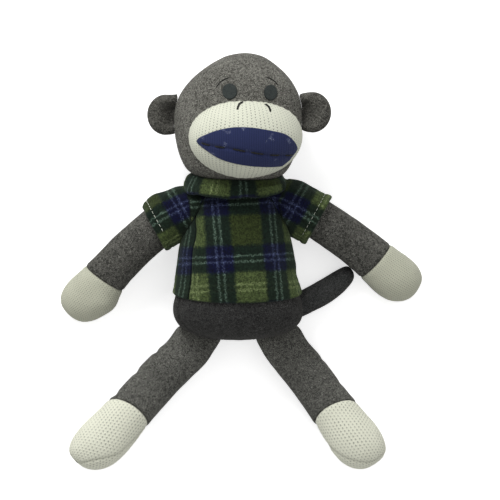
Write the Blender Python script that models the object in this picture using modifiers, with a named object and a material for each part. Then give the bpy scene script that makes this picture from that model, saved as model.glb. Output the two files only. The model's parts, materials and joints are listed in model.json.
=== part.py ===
"""Sock monkey doll in a plaid pullover, lying on its back with its limbs spread.

Metres, +Z up. +X is to the right as the doll is seen from the front, +Y runs from the feet to
the head and +Z points out of the doll's front. The origin is on the flat patch under the back of
the pullover. Every soft form is a cage of rings along its own local X axis.
"""

from math import asin, cos, pi, radians, sin

import bmesh
import bpy
from mathutils import Matrix, Vector
from mathutils.bvhtree import BVHTree

# Clearances and cloth
GAP = 0.0003
SKIN_WALL = 0.0012
SHIRT_WALL = 0.0018
FILL_GAP = 0.0012
FLAT_DEPTH = 0.0005
OVERRUN = 0.020
THREAD_RADIUS = 0.0007
SEAM_THREAD_RADIUS = 0.0004
SEAM_THREAD_LIFT = 0.0012
SHOULDER_EASE = 0.0002
HIP_EASE = 0.0003
TAIL_EASE = 0.0002
WELD = 0.00001
SKY = 0.2

# Torso, from its rounded bottom to the rim that holds the neck
TORSO_HEIGHT = 0.120
TORSO_WIDTH = 0.1056
TORSO_DEPTH = 0.072
BOTTOM_SHARE = 0.525

# Neck and head
NECK_RADIUS = 0.016
NECK_SPACE = 0.0075
NECK_HEIGHT = 0.038
NECK_SHIFT = -0.0022
HEAD_WIDTH = 0.1022
HEAD_HEIGHT = 0.1035
HEAD_DEPTH = 0.089
HEAD_ROLL = radians(-2.2)
FACE_YAW = radians(9.0)
FACE_PITCH = radians(12.0)

# Muzzle, lips and eyes
MUZZLE_WIDTH = 0.0915
MUZZLE_HEIGHT = 0.0665
MUZZLE_DEPTH = 0.070
MUZZLE_REACH = 0.017
MUZZLE_X_SHARE = 0.080
MUZZLE_Y_SHARE = 0.380
LIP_WALL = 0.0012
LIP_START_SHARE = 0.13
EYE_WIDTH = 0.0118
EYE_HEIGHT = 0.0128
EYE_WALL = 0.0010

# Ears
EAR_WIDTH = 0.030
EAR_HEIGHT = 0.0325
EAR_THICKNESS = 0.0125
EAR_ROOT_RADIUS = 0.0030
EAR_OFFSET = 0.0050

# Arms
ARM_LENGTH = 0.1155
ARM_WIDTH = 0.0336
ARM_DEPTH = 0.0305
SHOULDER_HEIGHT = 0.033
HAND_REACH_SHARE = 0.83
WRIST_SHARE = 0.640

# Legs
LEG_LENGTH = 0.136
LEG_WIDTH = 0.0354
LEG_DEPTH = 0.030
HIP_RADIUS = 0.0067
HIP_HEIGHT = 0.022
HIP_OFFSET = 0.0352
HIP_SLANT = radians(18.0)
ANKLE_SHARE = 0.565
ANKLE_LEAN = radians(-27.0)

# Tail
TAIL_LENGTH = 0.0545
TAIL_WIDTH = 0.0180
TAIL_RISE_SHARE = 0.222
TAIL_ANGLE = radians(32.0)
TAIL_OPENING = 0.0016

# Pullover
HEM_SHARE = 0.315
HEM_TILT = radians(12.0)
SEAM_TURN = radians(-20.0)
NECKLINE_INSET = 0.0035
ARMHOLE_ROOM = 0.0032
SLEEVE_LENGTH = 0.035
SLEEVE_WIDTH = 0.043
SLEEVE_DEPTH = 0.041
SLEEVE_TURN = radians(29.0)
SLEEVE_BACK = 0.018
SLEEVE_STITCH_INSET = 0.006
COLLAR_WIDTH = 0.0828
COLLAR_DEPTH = 0.066
COLLAR_HEIGHT = 0.0132
COLLAR_RISE = 0.0045
COLLAR_FRONT_DROP = 0.0068
COLLAR_BACK_DROP = 0.0060

# Each side's own place in the pose: arm angle below level, shoulder height up the torso,
# leg angle out from straight down, toe reach, ear height up the head
SIDES = {
    "left": {"sign": -1, "arm": radians(43.0), "shoulder_share": 0.830, "leg": radians(42.3),
             "toe_share": 1.0, "toe_turn_share": 1.5, "ear_share": 0.541},
    "right": {"sign": 1, "arm": radians(34.9), "shoulder_share": 0.878, "leg": radians(36.4),
              "toe_share": 0.915, "toe_turn_share": 1.0, "ear_share": 0.570},
}

# Rings: along, aside, rise, across, deep, turn. The shares are of the form's length, its width,
# its depth, half its width and half its depth; turn is the share taken of the root's skew and height.
TORSO_RING_SHARES = (
    (0.000, 0.0, -0.028, 0.33, 0.36, 0),
    (0.045, 0.0, -0.020, 0.74, 0.68, 0),
    (0.115, 0.0, -0.012, 0.95, 0.90, 0),
    (0.220, 0.0, -0.004, 1.010, 1.010, 0),
    (0.370, 0.005, -0.002, 0.890, 1.020, 0),
    (0.560, 0.020, -0.020, 0.85, 0.985, 0),
    (0.730, 0.012, -0.034, 0.755, 0.86, 0),
    (0.870, 0.0, -0.046, 0.650, 0.71, 0),
    (1.000, 0.0, 0.000, 0.450, 0.52, 0),
)
HEAD_RING_SHARES = (
    (0.000, 0.0, 0.0, 0.42, 0.44, 0),
    (0.045, 0.0, 0.0, 0.74, 0.72, 0),
    (0.140, 0.0, 0.0, 0.86, 0.85, 0),
    (0.300, 0.0, 0.0, 0.975, 0.975, 0),
    (0.500, 0.0, 0.0, 1.025, 1.025, 0),
    (0.695, -0.015, 0.0, 0.935, 0.96, 0),
    (0.840, -0.030, 0.0, 0.695, 0.78, 0),
    (0.950, -0.042, 0.0, 0.40, 0.48, 0),
    (0.995, -0.055, 0.0, 0.16, 0.24, 0),
)
ARM_RING_SHARES = (
    (-0.142, 0.0, 0.0, 0.46, 0.50, 0),
    (-0.105, 0.0, 0.0, 0.80, 0.86, 0),
    (0.000, 0.0, 0.0, 1.00, 1.08, 0),
    (0.160, 0.045, 0.0, 0.98, 1.04, 0),
    (0.400, 0.075, 0.0, 1.00, 1.00, 0),
    (0.640, 0.0, 0.0, 1.03, 0.96, 0),
    (0.770, -0.055, 0.0, 1.16, 1.04, 0),
    (0.885, -0.045, 0.0, 1.13, 1.02, 0),
    (0.965, -0.015, 0.0, 0.82, 0.78, 0),
    (1.000, 0.0, 0.0, 0.42, 0.42, 0),
)
LEG_RING_SHARES = (
    (-0.049, 0.0, 0.0, 0.88, 0.24, 1),
    (-0.030, 0.0, 0.0, 1.02, 0.44, 1),
    (0.012, 0.0, 0.0, 1.03, 0.50, 1),
    (0.090, 0.0, 0.0, 1.01, 0.72, 0.5),
    (0.200, 0.0, 0.0, 1.00, 0.97, 0),
    (0.380, 0.0, 0.0, 1.00, 1.00, 0),
    (0.570, 0.0, 0.0, 1.02, 1.00, 0),
    (0.720, -0.01, 0.03, 1.15, 1.06, 0),
    (0.860, 0.00, 0.02, 1.17, 1.04, 0),
    (0.955, 0.04, 0.01, 0.88, 0.80, 0),
    (1.000, 0.08, 0.0, 0.44, 0.42, 0),
)
TAIL_RING_SHARES = (
    (-0.165, 0.0, 0.0, 0.50, 0.50, 0),
    (-0.120, 0.0, 0.0, 0.85, 0.85, 0),
    (0.000, 0.0, 0.0, 1.04, 1.02, 0),
    (0.220, 0.04, 0.0, 1.10, 1.02, 0),
    (0.470, 0.11, 0.0, 1.10, 1.02, 0),
    (0.740, 0.06, 0.0, 1.03, 1.00, 0),
    (0.930, -0.02, 0.0, 0.80, 0.80, 0),
    (1.000, -0.06, 0.0, 0.42, 0.42, 0),
)
SLEEVE_RING_SHARES = (
    (-0.34, -0.05, 0.0, 0.58, 0.70, 0),
    (0.00, -0.03, 0.0, 0.96, 0.95, 0),
    (0.50, -0.02, 0.0, 1.02, 1.00, 0),
    (0.80, -0.03, 0.0, 1.02, 1.00, 0),
    (1.00, -0.03, 0.0, 0.94, 0.98, 0),
)
EAR_BACK_SHARES = ((0.0, 1.00), (0.22, 0.96), (0.42, 0.74), (0.50, 0.34))
EAR_FRONT_SHARES = ((0.0, 1.00), (0.30, 0.95), (0.50, 0.80), (0.42, 0.60), (0.20, 0.42), (0.13, 0.20))

# Outlines and threads on the face. Eyes and brows are shares of the head's width and height from
# the neck joint; lips, mouth and nostrils are shares of half the muzzle's width and height.
EYE_PLACE_SHARES = {"left": (-0.042, 0.720), "right": (0.275, 0.711)}
EYE_SIZE_SHARES = {"left": 1.0, "right": 0.93}
BROW_SHARES = {
    "left": ((-0.152, 0.747), (-0.108, 0.797), (-0.042, 0.829)),
    "right": ((0.236, 0.831), (0.295, 0.807), (0.340, 0.765)),
}
NOSTRIL_SHARES = {
    "left": ((-0.047, 0.905), (-0.115, 0.845), (-0.139, 0.739)),
    "right": ((0.366, 0.825), (0.418, 0.765), (0.449, 0.670)),
}
LIP_OUTLINE_SHARES = (
    (-0.856, -0.075), (-0.618, 0.118), (-0.294, 0.248), (0.047, 0.258), (0.407, 0.196), (0.748, 0.065),
    (0.940, -0.258), (0.840, -0.590), (0.622, -0.709), (0.281, -0.739), (-0.061, -0.693),
    (-0.402, -0.575), (-0.672, -0.353),
)
MOUTH_SHARES = (
    (-0.76, -0.16), (-0.474, -0.242), (-0.124, -0.327), (0.191, -0.405), (0.497, -0.458),
    (0.73, -0.444), (0.86, -0.422),
)

# Sides round each cage and counts along curves
BODY_SIDES = 10
LIMB_SIDES = 7
TAIL_SIDES = 6
SLEEVE_SIDES = 8
EAR_SIDES = 14
BALL_SEGMENTS = 14
BALL_RINGS = 8
MUZZLE_SEGMENTS = 18
MUZZLE_RINGS = 10
THREAD_STEPS = 3
LIP_STEPS = 2
COLLAR_POINTS = 24
EYE_POINTS = 14
SEAT_STEPS = 40

FLEECE_DARK = (0.125, 0.122, 0.108)
FLEECE_LIGHT = (0.135, 0.135, 0.118)
CREAM = (0.72, 0.73, 0.60)
NAVY = (0.025, 0.028, 0.10)
CHARCOAL = (0.020, 0.022, 0.024)
PLAID = (0.055, 0.085, 0.035)
BLACK = (0.008, 0.008, 0.008)
WHITE = (0.75, 0.76, 0.72)
FILLING = (0.80, 0.80, 0.78)

# Places worked out from the sizes above
TORSO_BOTTOM = -TORSO_HEIGHT * BOTTOM_SHARE
TORSO_CENTRE_HEIGHT = TORSO_DEPTH / 2 + SHIRT_WALL + GAP - FLAT_DEPTH
NECK_POINT = Vector((NECK_SHIFT, TORSO_BOTTOM + TORSO_HEIGHT + NECK_SPACE / 2, NECK_HEIGHT))
HEAD_LIFT = HEAD_DEPTH / 2 - FLAT_DEPTH - NECK_HEIGHT
HEAD_CENTRE_HEIGHT = HEAD_DEPTH / 2 - FLAT_DEPTH
MUZZLE_POINT = Vector((
    NECK_POINT.x + MUZZLE_X_SHARE * HEAD_WIDTH,
    NECK_POINT.y + MUZZLE_Y_SHARE * HEAD_HEIGHT,
    HEAD_CENTRE_HEIGHT + HEAD_DEPTH / 2 + MUZZLE_REACH - MUZZLE_DEPTH / 2,
))


def reset_scene():
    """Empty the scene of its objects."""
    for obj in list(bpy.data.objects):
        bpy.data.objects.remove(obj, do_unlink=True)


def new_collection(name):
    """A collection in the scene."""
    made = bpy.data.collections.new(name)
    bpy.context.scene.collection.children.link(made)
    return made


def new_material(name, colour, roughness):
    """A plain finish for one piece."""
    material = bpy.data.materials.new(name)
    material.use_nodes = True
    shader = material.node_tree.nodes["Principled BSDF"]
    shader.inputs["Base Color"].default_value = (*colour, 1.0)
    shader.inputs["Roughness"].default_value = roughness
    return material


def add_object(name, data, place=None):
    """An object that holds this data, among the cutters until it is finished."""
    obj = bpy.data.objects.new(name, data)
    cutters.objects.link(obj)
    obj.hide_render = True
    obj.display_type = "WIRE"
    if place is not None:
        obj.matrix_world = place
    return obj


def finish(obj, colour, parent=None, roughness=0.95):
    """Move an object from the cutters to the doll, with its own finish and its joint's empty."""
    cutters.objects.unlink(obj)
    doll.objects.link(obj)
    obj.hide_render = False
    obj.display_type = "TEXTURED"
    obj.data.materials.clear()
    obj.data.materials.append(new_material(obj.name, colour, roughness))
    if obj.type == "MESH":
        obj.data.shade_smooth()
    if parent is not None:
        place = obj.matrix_world.copy()
        obj.parent = parent
        obj.matrix_parent_inverse = parent.matrix_world.inverted()
        obj.matrix_world = place
    return obj


def joint_empty(name, point, parent=None):
    """An empty on a joint's axis."""
    empty = bpy.data.objects.new(name, None)
    doll.objects.link(empty)
    empty.empty_display_size = NECK_RADIUS
    empty.matrix_world = Matrix.Translation(point)
    bpy.context.view_layer.update()
    if parent is not None:
        empty.parent = parent
        empty.matrix_parent_inverse = parent.matrix_world.inverted()
        bpy.context.view_layer.update()
    return empty


def placed(point, turn=0.0, pitch=0.0):
    """A place whose local X axis is turned about Z and then dipped about its own Y axis."""
    return Matrix.Translation(point) @ Matrix.Rotation(turn, 4, "Z") @ Matrix.Rotation(pitch, 4, "Y")


def rings_from(shares, length, width, depth, side=1, skew=0.0, lift=0.0):
    """Ring centres and half axes from a table of shares."""
    rings = []
    for along, aside, rise, across, deep, turn in shares:
        angle = skew * turn
        centre = Matrix.Rotation(angle, 3, "Z") @ Vector((along * length, 0, 0))
        centre += Vector((0, side * aside * width, rise * depth + lift))
        rings.append([centre, across * width / 2, deep * depth / 2, angle])
    return rings


def settled(rings):
    """The rings where one round of subdivision leaves them, without the two at the ends."""
    kept = []
    for before, ring, after in zip(rings, rings[1:], rings[2:]):
        kept.append([(a + 6 * b + c) / 8 for a, b, c in zip(before, ring, after)])
    return kept


def cage(name, rings, sides, place, gain=1.0, open_ends=False):
    """A closed mesh through rings of points, each ring square to the form's own length."""
    mesh = bpy.data.meshes.new(name)
    bm = bmesh.new()
    loop = bmesh.ops.create_circle(bm, segments=sides, radius=1.0)["verts"]
    edges = list(bm.edges)
    loops = [loop]
    for _ in rings[1:]:
        grown = bmesh.ops.extrude_edge_only(bm, edges=edges)["geom"]
        edges = [item for item in grown if isinstance(item, bmesh.types.BMEdge)
                 and all(v not in loops[-1] for v in item.verts)]
        order = {}
        for vert in loops[-1]:
            for edge in vert.link_edges:
                other = edge.other_vert(vert)
                if other not in loops[-1] and (len(loops) < 2 or other not in loops[-2]):
                    order[vert] = other
        loops.append([order[vert] for vert in loops[-1]])
    for ring, verts in zip(rings, loops):
        centre, across, deep, angle = ring
        right = Matrix.Rotation(angle, 3, "Z") @ Vector((0, across * gain, 0))
        up = Vector((0, 0, deep * gain))
        for index, vert in enumerate(verts):
            phase = 2 * pi * index / sides - pi / 2
            vert.co = centre + right * cos(phase) + up * sin(phase)
    if not open_ends:
        bmesh.ops.contextual_create(bm, geom=loops[0])
        bmesh.ops.contextual_create(bm, geom=loops[-1])
    bmesh.ops.recalc_face_normals(bm, faces=bm.faces)
    bm.to_mesh(mesh)
    bm.free()
    return add_object(name, mesh, place)


def subdivide(obj):
    """One round of subdivision, the same in the viewport and the render."""
    modifier = obj.modifiers.new("Soften", "SUBSURF")
    modifier.levels = 1
    modifier.render_levels = 1
    return obj


def swell(obj, amount):
    """Move every face out by this amount."""
    modifier = obj.modifiers.new("Swell", "DISPLACE")
    modifier.strength = amount
    modifier.mid_level = 0.0
    return obj


def wall(obj, thickness, offset=-1.0):
    """A shell inside the surface."""
    modifier = obj.modifiers.new("Wall", "SOLIDIFY")
    modifier.thickness = thickness
    modifier.offset = offset
    return obj


def cut(obj, cutter, operation="DIFFERENCE"):
    """A Boolean with another object."""
    modifier = obj.modifiers.new(cutter.name[:40], "BOOLEAN")
    modifier.operation = operation
    modifier.solver = "EXACT"
    modifier.object = cutter
    return obj


def ring_gain(sides):
    """How much wider a cage ring is than what one round of subdivision leaves of it."""
    return 8 / (6 + 2 * cos(2 * pi / sides))


def form(name, rings, sides, place, amount=0.0):
    """A soft closed form, swollen by an amount."""
    made = subdivide(cage(name, rings, sides, place, gain=ring_gain(sides)))
    return swell(made, amount) if amount else made


def core(name, rings, sides, place, colour, parent):
    """The filling inside a form's skin."""
    made = swell(cage(name, settled(rings), sides, place), -SKIN_WALL - FILL_GAP)
    return finish(made, colour, parent)


def surface_of(obj):
    """A search tree of an object's surface in the world."""
    bpy.context.view_layer.update()
    graph = bpy.context.evaluated_depsgraph_get()
    shaped = obj.evaluated_get(graph)
    mesh = shaped.to_mesh()
    points = [obj.matrix_world @ vert.co for vert in mesh.vertices]
    tree = BVHTree.FromPolygons(points, [tuple(face.vertices) for face in mesh.polygons])
    shaped.to_mesh_clear()
    return tree


def seat(tree, point, outward, distance):
    """Bring a point in from outside, against this direction, until it stands this far off."""
    for _ in range(SEAT_STEPS):
        point = point - outward * (tree.find_nearest(point)[3] - distance)
    return point


def box(name, place, low, high):
    """A box between two corners of a local frame."""
    mesh = bpy.data.meshes.new(name)
    bm = bmesh.new()
    bmesh.ops.create_cube(bm, size=1.0)
    centre = (Vector(low) + Vector(high)) / 2
    span = Vector(high) - Vector(low)
    bmesh.ops.transform(bm, matrix=Matrix.Translation(centre) @ Matrix.Diagonal((*span, 1)), verts=bm.verts)
    bm.to_mesh(mesh)
    bm.free()
    return add_object(name, mesh, place)


def ball(name, point, half_axes, segments=BALL_SEGMENTS, rings=BALL_RINGS, place=None):
    """A ball or an ellipsoid."""
    mesh = bpy.data.meshes.new(name)
    bm = bmesh.new()
    bmesh.ops.create_uvsphere(bm, u_segments=segments, v_segments=rings, radius=1.0)
    bmesh.ops.transform(bm, matrix=Matrix.Diagonal((*half_axes, 1)), verts=bm.verts)
    bm.to_mesh(mesh)
    bm.free()
    return add_object(name, mesh, place or Matrix.Translation(point))


def as_mesh(obj):
    """Turn a curve object into a mesh object with welded caps."""
    bpy.context.view_layer.update()
    graph = bpy.context.evaluated_depsgraph_get()
    mesh = bpy.data.meshes.new_from_object(obj.evaluated_get(graph))
    bm = bmesh.new()
    bm.from_mesh(mesh)
    bmesh.ops.remove_doubles(bm, verts=bm.verts, dist=WELD)
    bm.to_mesh(mesh)
    bm.free()
    name = obj.name
    place = obj.matrix_world.copy()
    bpy.data.objects.remove(obj, do_unlink=True)
    return add_object(name, mesh, place)


def prism(name, outline, low, high):
    """A flat outline drawn through from one height to another."""
    curve = bpy.data.curves.new(name, "CURVE")
    curve.dimensions = "2D"
    curve.fill_mode = "BOTH"
    curve.extrude = (high - low) / 2
    spline = curve.splines.new("POLY")
    spline.points.add(len(outline) - 1)
    spline.use_cyclic_u = True
    for point, (x, y) in zip(spline.points, outline):
        point.co = (x, y, 0, 1)
    obj = add_object(name, curve, Matrix.Translation((0, 0, (low + high) / 2)))
    return as_mesh(obj)


def tube(name, points, radius, cyclic=False, resolution=1):
    """A round thread through these points."""
    curve = bpy.data.curves.new(name, "CURVE")
    curve.dimensions = "3D"
    curve.bevel_depth = radius
    curve.bevel_resolution = resolution
    curve.use_fill_caps = not cyclic
    spline = curve.splines.new("POLY")
    spline.points.add(len(points) - 1)
    spline.use_cyclic_u = cyclic
    for point, place in zip(spline.points, points):
        point.co = (*place, 1)
    return add_object(name, curve)


def smooth_path(points, steps):
    """Points of a smooth curve through a few chosen ones."""
    padded = [points[0] * 2 - points[1], *points, points[-1] * 2 - points[-2]]
    path = []
    for first, start, end, last in zip(padded, padded[1:], padded[2:], padded[3:]):
        for step in range(steps):
            t = step / steps
            path.append((start * 2 + (end - first) * t + (first * 2 - start * 5 + end * 4 - last) * t * t
                         + (start * 3 - first - end * 3 + last) * t * t * t) / 2)
    return [*path, points[-1]]


def smooth_loop(points, steps):
    """Points of a smooth closed curve through a few chosen ones."""
    around = [points[-2], points[-1], *points, points[0], points[1]]
    path = smooth_path(around, steps)
    return path[2 * steps:-3 * steps]


def drape_down(trees, points, lift):
    """Drop points straight down onto the highest of some surfaces and lift them along its normal."""
    down = Vector((0, 0, -1))
    laid = []
    for point in points:
        hits = [tree.ray_cast(Vector((point.x, point.y, SKY)), down) for tree in trees]
        hit, normal, _, _ = max((hit for hit in hits if hit[0]), key=lambda found: found[0].z)
        laid.append(hit + normal * lift)
    return laid


def face_point(share):
    """A point of the face, from shares of the head's width and height."""
    return Vector((NECK_POINT.x + share[0] * HEAD_WIDTH, NECK_POINT.y + share[1] * HEAD_HEIGHT, 0))


def muzzle_point(share):
    """A point of the muzzle, from shares of half its width and height."""
    return Vector((MUZZLE_POINT.x + share[0] * MUZZLE_WIDTH / 2,
                   MUZZLE_POINT.y + share[1] * MUZZLE_HEIGHT / 2, 0))


def patch(name, outline, low, outer, inner, colour, parent):
    """A thin patch that follows a surface, from the part of an outer form inside an outline."""
    made = prism(name, outline, low, SKY)
    cut(made, outer, "INTERSECT")
    cut(made, inner)
    return finish(made, colour, parent)


def make_torso():
    """The torso's skin and filling, with a dimple for the neck."""
    rings = rings_from(TORSO_RING_SHARES, TORSO_HEIGHT, TORSO_WIDTH, TORSO_DEPTH)
    place = placed(Vector((0, TORSO_BOTTOM, TORSO_CENTRE_HEIGHT)), pi / 2)
    skin = wall(form("torso_skin", rings, BODY_SIDES, place), SKIN_WALL)
    filling = core("torso_stuffing", rings, BODY_SIDES, place, FILLING, None)
    for piece in (skin, filling):
        cut(piece, neck_cutter)
    finish(skin, FLEECE_DARK)
    return rings, place


def make_neck():
    """The stuffed neck that the head nods and turns on."""
    neck = ball("neck", NECK_POINT, (NECK_RADIUS,) * 3)
    return finish(neck, FLEECE_DARK, neck_nod)


def make_head(rings, place):
    """The head's skin and filling, open at the neck."""
    skin = wall(form("head_skin", rings, BODY_SIDES, place), SKIN_WALL)
    cut(cut(skin, neck_cutter), floor_cutter)
    finish(skin, FLEECE_LIGHT, head_turn)
    filling = core("head_stuffing", rings, BODY_SIDES, place, FILLING, head_turn)
    cut(filling, neck_cutter)


def muzzle_form(name, amount):
    """The muzzle's ellipsoid, larger all round by an amount."""
    place = Matrix.Translation(MUZZLE_POINT) @ Matrix.Rotation(FACE_YAW, 4, "Y")
    place = place @ Matrix.Rotation(FACE_PITCH, 4, "X")
    halves = (MUZZLE_WIDTH / 2 + amount, MUZZLE_HEIGHT / 2 + amount, MUZZLE_DEPTH / 2 + amount)
    return ball(name, MUZZLE_POINT, halves, MUZZLE_SEGMENTS, MUZZLE_RINGS, place)


def make_muzzle(head_cutter):
    """The knit muzzle, its filling, and the lips and threads on it."""
    skin = wall(muzzle_form("muzzle_skin", 0.0), SKIN_WALL)
    cut(skin, head_cutter)
    filling = muzzle_form("muzzle_stuffing", -SKIN_WALL - FILL_GAP)
    cut(filling, head_cutter)
    finish(skin, CREAM, head_turn)
    finish(filling, FILLING, head_turn)
    over = muzzle_form("lip_inner_cutter", GAP)
    top = muzzle_form("lip_outer_cutter", GAP + LIP_WALL)
    loop = smooth_loop([muzzle_point(share) for share in LIP_OUTLINE_SHARES], LIP_STEPS)
    outline = [point.xy for point in loop]
    low = MUZZLE_POINT.z + LIP_START_SHARE * MUZZLE_DEPTH
    patch("lips", outline, low, top, over, NAVY, head_turn)
    mouth = smooth_path([muzzle_point(share) for share in MOUTH_SHARES], THREAD_STEPS)
    laid = drape_down([surface_of(top)], mouth, GAP + THREAD_RADIUS)
    finish(tube("mouth_thread", laid, THREAD_RADIUS), BLACK, head_turn)
    trees = [surface_of(over), surface_of(head_cutter)]
    for side, shares in NOSTRIL_SHARES.items():
        path = smooth_path([muzzle_point(share) for share in shares], THREAD_STEPS)
        laid = drape_down(trees, path, THREAD_RADIUS + GAP)
        finish(tube("nostril_" + side, laid, THREAD_RADIUS), BLACK, head_turn)


def make_eyes(rings, place):
    """Eye patches and brow threads on the head."""
    over = form("eye_inner_cutter", rings, BODY_SIDES, place, GAP)
    top = form("eye_outer_cutter", rings, BODY_SIDES, place, GAP + EYE_WALL)
    tree = surface_of(over)
    for side, share in EYE_PLACE_SHARES.items():
        centre = face_point(share)
        scale = EYE_SIZE_SHARES[side] / 2
        outline = []
        for index in range(EYE_POINTS):
            angle = 2 * pi * index / EYE_POINTS
            outline.append((centre.x + EYE_WIDTH * scale * cos(angle), centre.y + EYE_HEIGHT * scale * sin(angle)))
        patch("eye_" + side, outline, HEAD_CENTRE_HEIGHT, top, over, CHARCOAL, head_turn)
        path = smooth_path([face_point(share) for share in BROW_SHARES[side]], THREAD_STEPS)
        laid = drape_down([tree], path, THREAD_RADIUS)
        finish(tube("brow_" + side, laid, THREAD_RADIUS), BLACK, head_turn)


def make_ear(side, head_tree, head_cutter):
    """One ear: a domed back and a dished front that fold together about their root."""
    sign = SIDES[side]["sign"]
    height = NECK_POINT.y + SIDES[side]["ear_share"] * HEAD_HEIGHT
    start = Vector((NECK_POINT.x + sign * (HEAD_WIDTH + EAR_WIDTH), height, HEAD_CENTRE_HEIGHT))
    root = seat(head_tree, start, Vector((sign, 0, 0)), EAR_ROOT_RADIUS + GAP)
    fold = joint_empty("joint_ear_fold_" + side, root, head_turn)
    centre = root + Vector((sign * EAR_OFFSET, 0, 0))
    inside = box("ear_root_cutter_" + side, Matrix.Translation(root), (-OVERRUN, -OVERRUN * 2, -OVERRUN),
                 (OVERRUN, OVERRUN * 2, OVERRUN))
    inside.location.x -= sign * OVERRUN
    round_root = tube("ear_root_round_" + side, [root - Vector((0, OVERRUN, 0)), root + Vector((0, OVERRUN, 0))],
                      EAR_ROOT_RADIUS, resolution=3)
    cut(inside, as_mesh(round_root))
    for piece, shares, facing in (("back", EAR_BACK_SHARES, -1), ("front", EAR_FRONT_SHARES, 1)):
        rings = []
        for along, across in shares:
            shift = facing * (along * EAR_THICKNESS + GAP / 2)
            rings.append([Vector((shift, 0, 0)), across * EAR_HEIGHT / 2, across * EAR_WIDTH / 2, 0.0])
        place = Matrix.Translation(centre) @ Matrix.Rotation(-pi / 2, 4, "Y")
        ear = cage("ear_" + piece + "_" + side, rings, EAR_SIDES, place)
        cut(cut(ear, inside), head_cutter)
        finish(ear, FLEECE_DARK, fold)


def split_limb(name, rings, sides, place, seam, lean, upper, colours, parent):
    """A limb's fleece skin and its knit end, parted at a seam plane, over one filling."""
    core(name + "_stuffing_" + upper, rings, sides, place, FILLING, parent)
    plane = place @ Matrix.Translation(seam) @ Matrix.Rotation(lean, 4, "Y")
    reach = (seam.x + OVERRUN) * 2
    beyond = box(name + "_end_cutter_" + upper, plane, (-GAP / 2, -reach, -reach), (reach, reach, reach))
    before = box(name + "_root_cutter_" + upper, plane, (-reach, -reach, -reach), (GAP / 2, reach, reach))
    end_name = {"arm": "hand", "leg": "foot"}[name]
    skin = wall(form(name + "_skin_" + upper, rings, sides, place), SKIN_WALL)
    end = wall(form(end_name + "_" + upper, rings, sides, place), SKIN_WALL)
    for piece, cutter, colour in ((skin, beyond, colours[0]), (end, before, colours[1])):
        cut(cut(piece, cutter), floor_cutter)
        finish(piece, colour, parent)


def make_arm(side, torso_tree):
    """One arm with its hand, on two joints through the middle of its round root."""
    sign = SIDES[side]["sign"]
    root_radius = ARM_WIDTH / 2
    height = TORSO_BOTTOM + SIDES[side]["shoulder_share"] * TORSO_HEIGHT
    start = Vector((sign * (TORSO_WIDTH + ARM_WIDTH), height, SHOULDER_HEIGHT))
    pivot = seat(torso_tree, start, Vector((sign, 0, 0)), root_radius + GAP + SHOULDER_EASE)
    dip = asin((SHOULDER_HEIGHT + FLAT_DEPTH - ARM_DEPTH / 2) / (HAND_REACH_SHARE * ARM_LENGTH))
    turn = -SIDES[side]["arm"] if sign > 0 else pi + SIDES[side]["arm"]
    place = placed(pivot, turn, dip)
    rings = rings_from(ARM_RING_SHARES, ARM_LENGTH, ARM_WIDTH, ARM_DEPTH, sign)
    swing = joint_empty("joint_shoulder_swing_" + side, pivot)
    lift = joint_empty("joint_arm_raise_" + side, pivot, swing)
    seam = Vector((WRIST_SHARE * ARM_LENGTH, 0, 0))
    split_limb("arm", rings, LIMB_SIDES, place, seam, 0.0, side, (FLEECE_DARK, CREAM), lift)
    return rings, place, pivot, swing


def make_leg(side, torso_tree):
    """One leg with its foot, hinged along the flattened seam at its top."""
    sign = SIDES[side]["sign"]
    start = Vector((sign * HIP_OFFSET, TORSO_BOTTOM - LEG_LENGTH, HIP_HEIGHT))
    hinge = seat(torso_tree, start, Vector((0, -1, 0)), HIP_RADIUS + GAP + HIP_EASE)
    turn = -pi / 2 + sign * SIDES[side]["leg"]
    place = placed(hinge, turn)
    skew = sign * (HIP_SLANT - SIDES[side]["leg"])
    length = LEG_LENGTH * SIDES[side]["toe_share"]
    toe = sign * SIDES[side]["toe_turn_share"]
    rings = rings_from(LEG_RING_SHARES, length, LEG_WIDTH, LEG_DEPTH, toe, skew)
    for ring, share in zip(rings, LEG_RING_SHARES):
        ring[0].z += (1 - share[5]) * (LEG_DEPTH / 2 - FLAT_DEPTH - hinge.z)
    flex = joint_empty("joint_hip_flex_" + side, hinge)
    seam = Vector((ANKLE_SHARE * length, 0, -hinge.z + LEG_DEPTH / 2))
    split_limb("leg", rings, LIMB_SIDES, place, seam, ANKLE_LEAN, side, (FLEECE_DARK, CREAM), flex)


def make_tail(torso_tree):
    """The tail, rooted under the torso's right side and open where it is sewn on."""
    low = TAIL_WIDTH / 2 - FLAT_DEPTH
    height = TORSO_BOTTOM + TAIL_RISE_SHARE * TORSO_HEIGHT
    start = Vector((TORSO_WIDTH, height, low))
    root = seat(torso_tree, start, Vector((1, 0, 0)), TAIL_WIDTH / 2 + GAP + TAIL_EASE)
    swing = joint_empty("joint_tail_swing", root)
    place = placed(root, TAIL_ANGLE)
    rings = rings_from(TAIL_RING_SHARES, TAIL_LENGTH, TAIL_WIDTH, TAIL_WIDTH, -1)
    skin = wall(form("tail_skin", rings, TAIL_SIDES, place), SKIN_WALL)
    edge = TAIL_OPENING - TAIL_WIDTH / 2
    mouth = box("tail_mouth_cutter", place, (edge - OVERRUN, -OVERRUN, -OVERRUN), (edge, OVERRUN, OVERRUN))
    cut(cut(skin, mouth), floor_cutter)
    finish(skin, FLEECE_DARK, swing)
    filling = core("tail_stuffing", rings, TAIL_SIDES, place, FILLING, swing)
    cut(filling, mouth)


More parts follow.
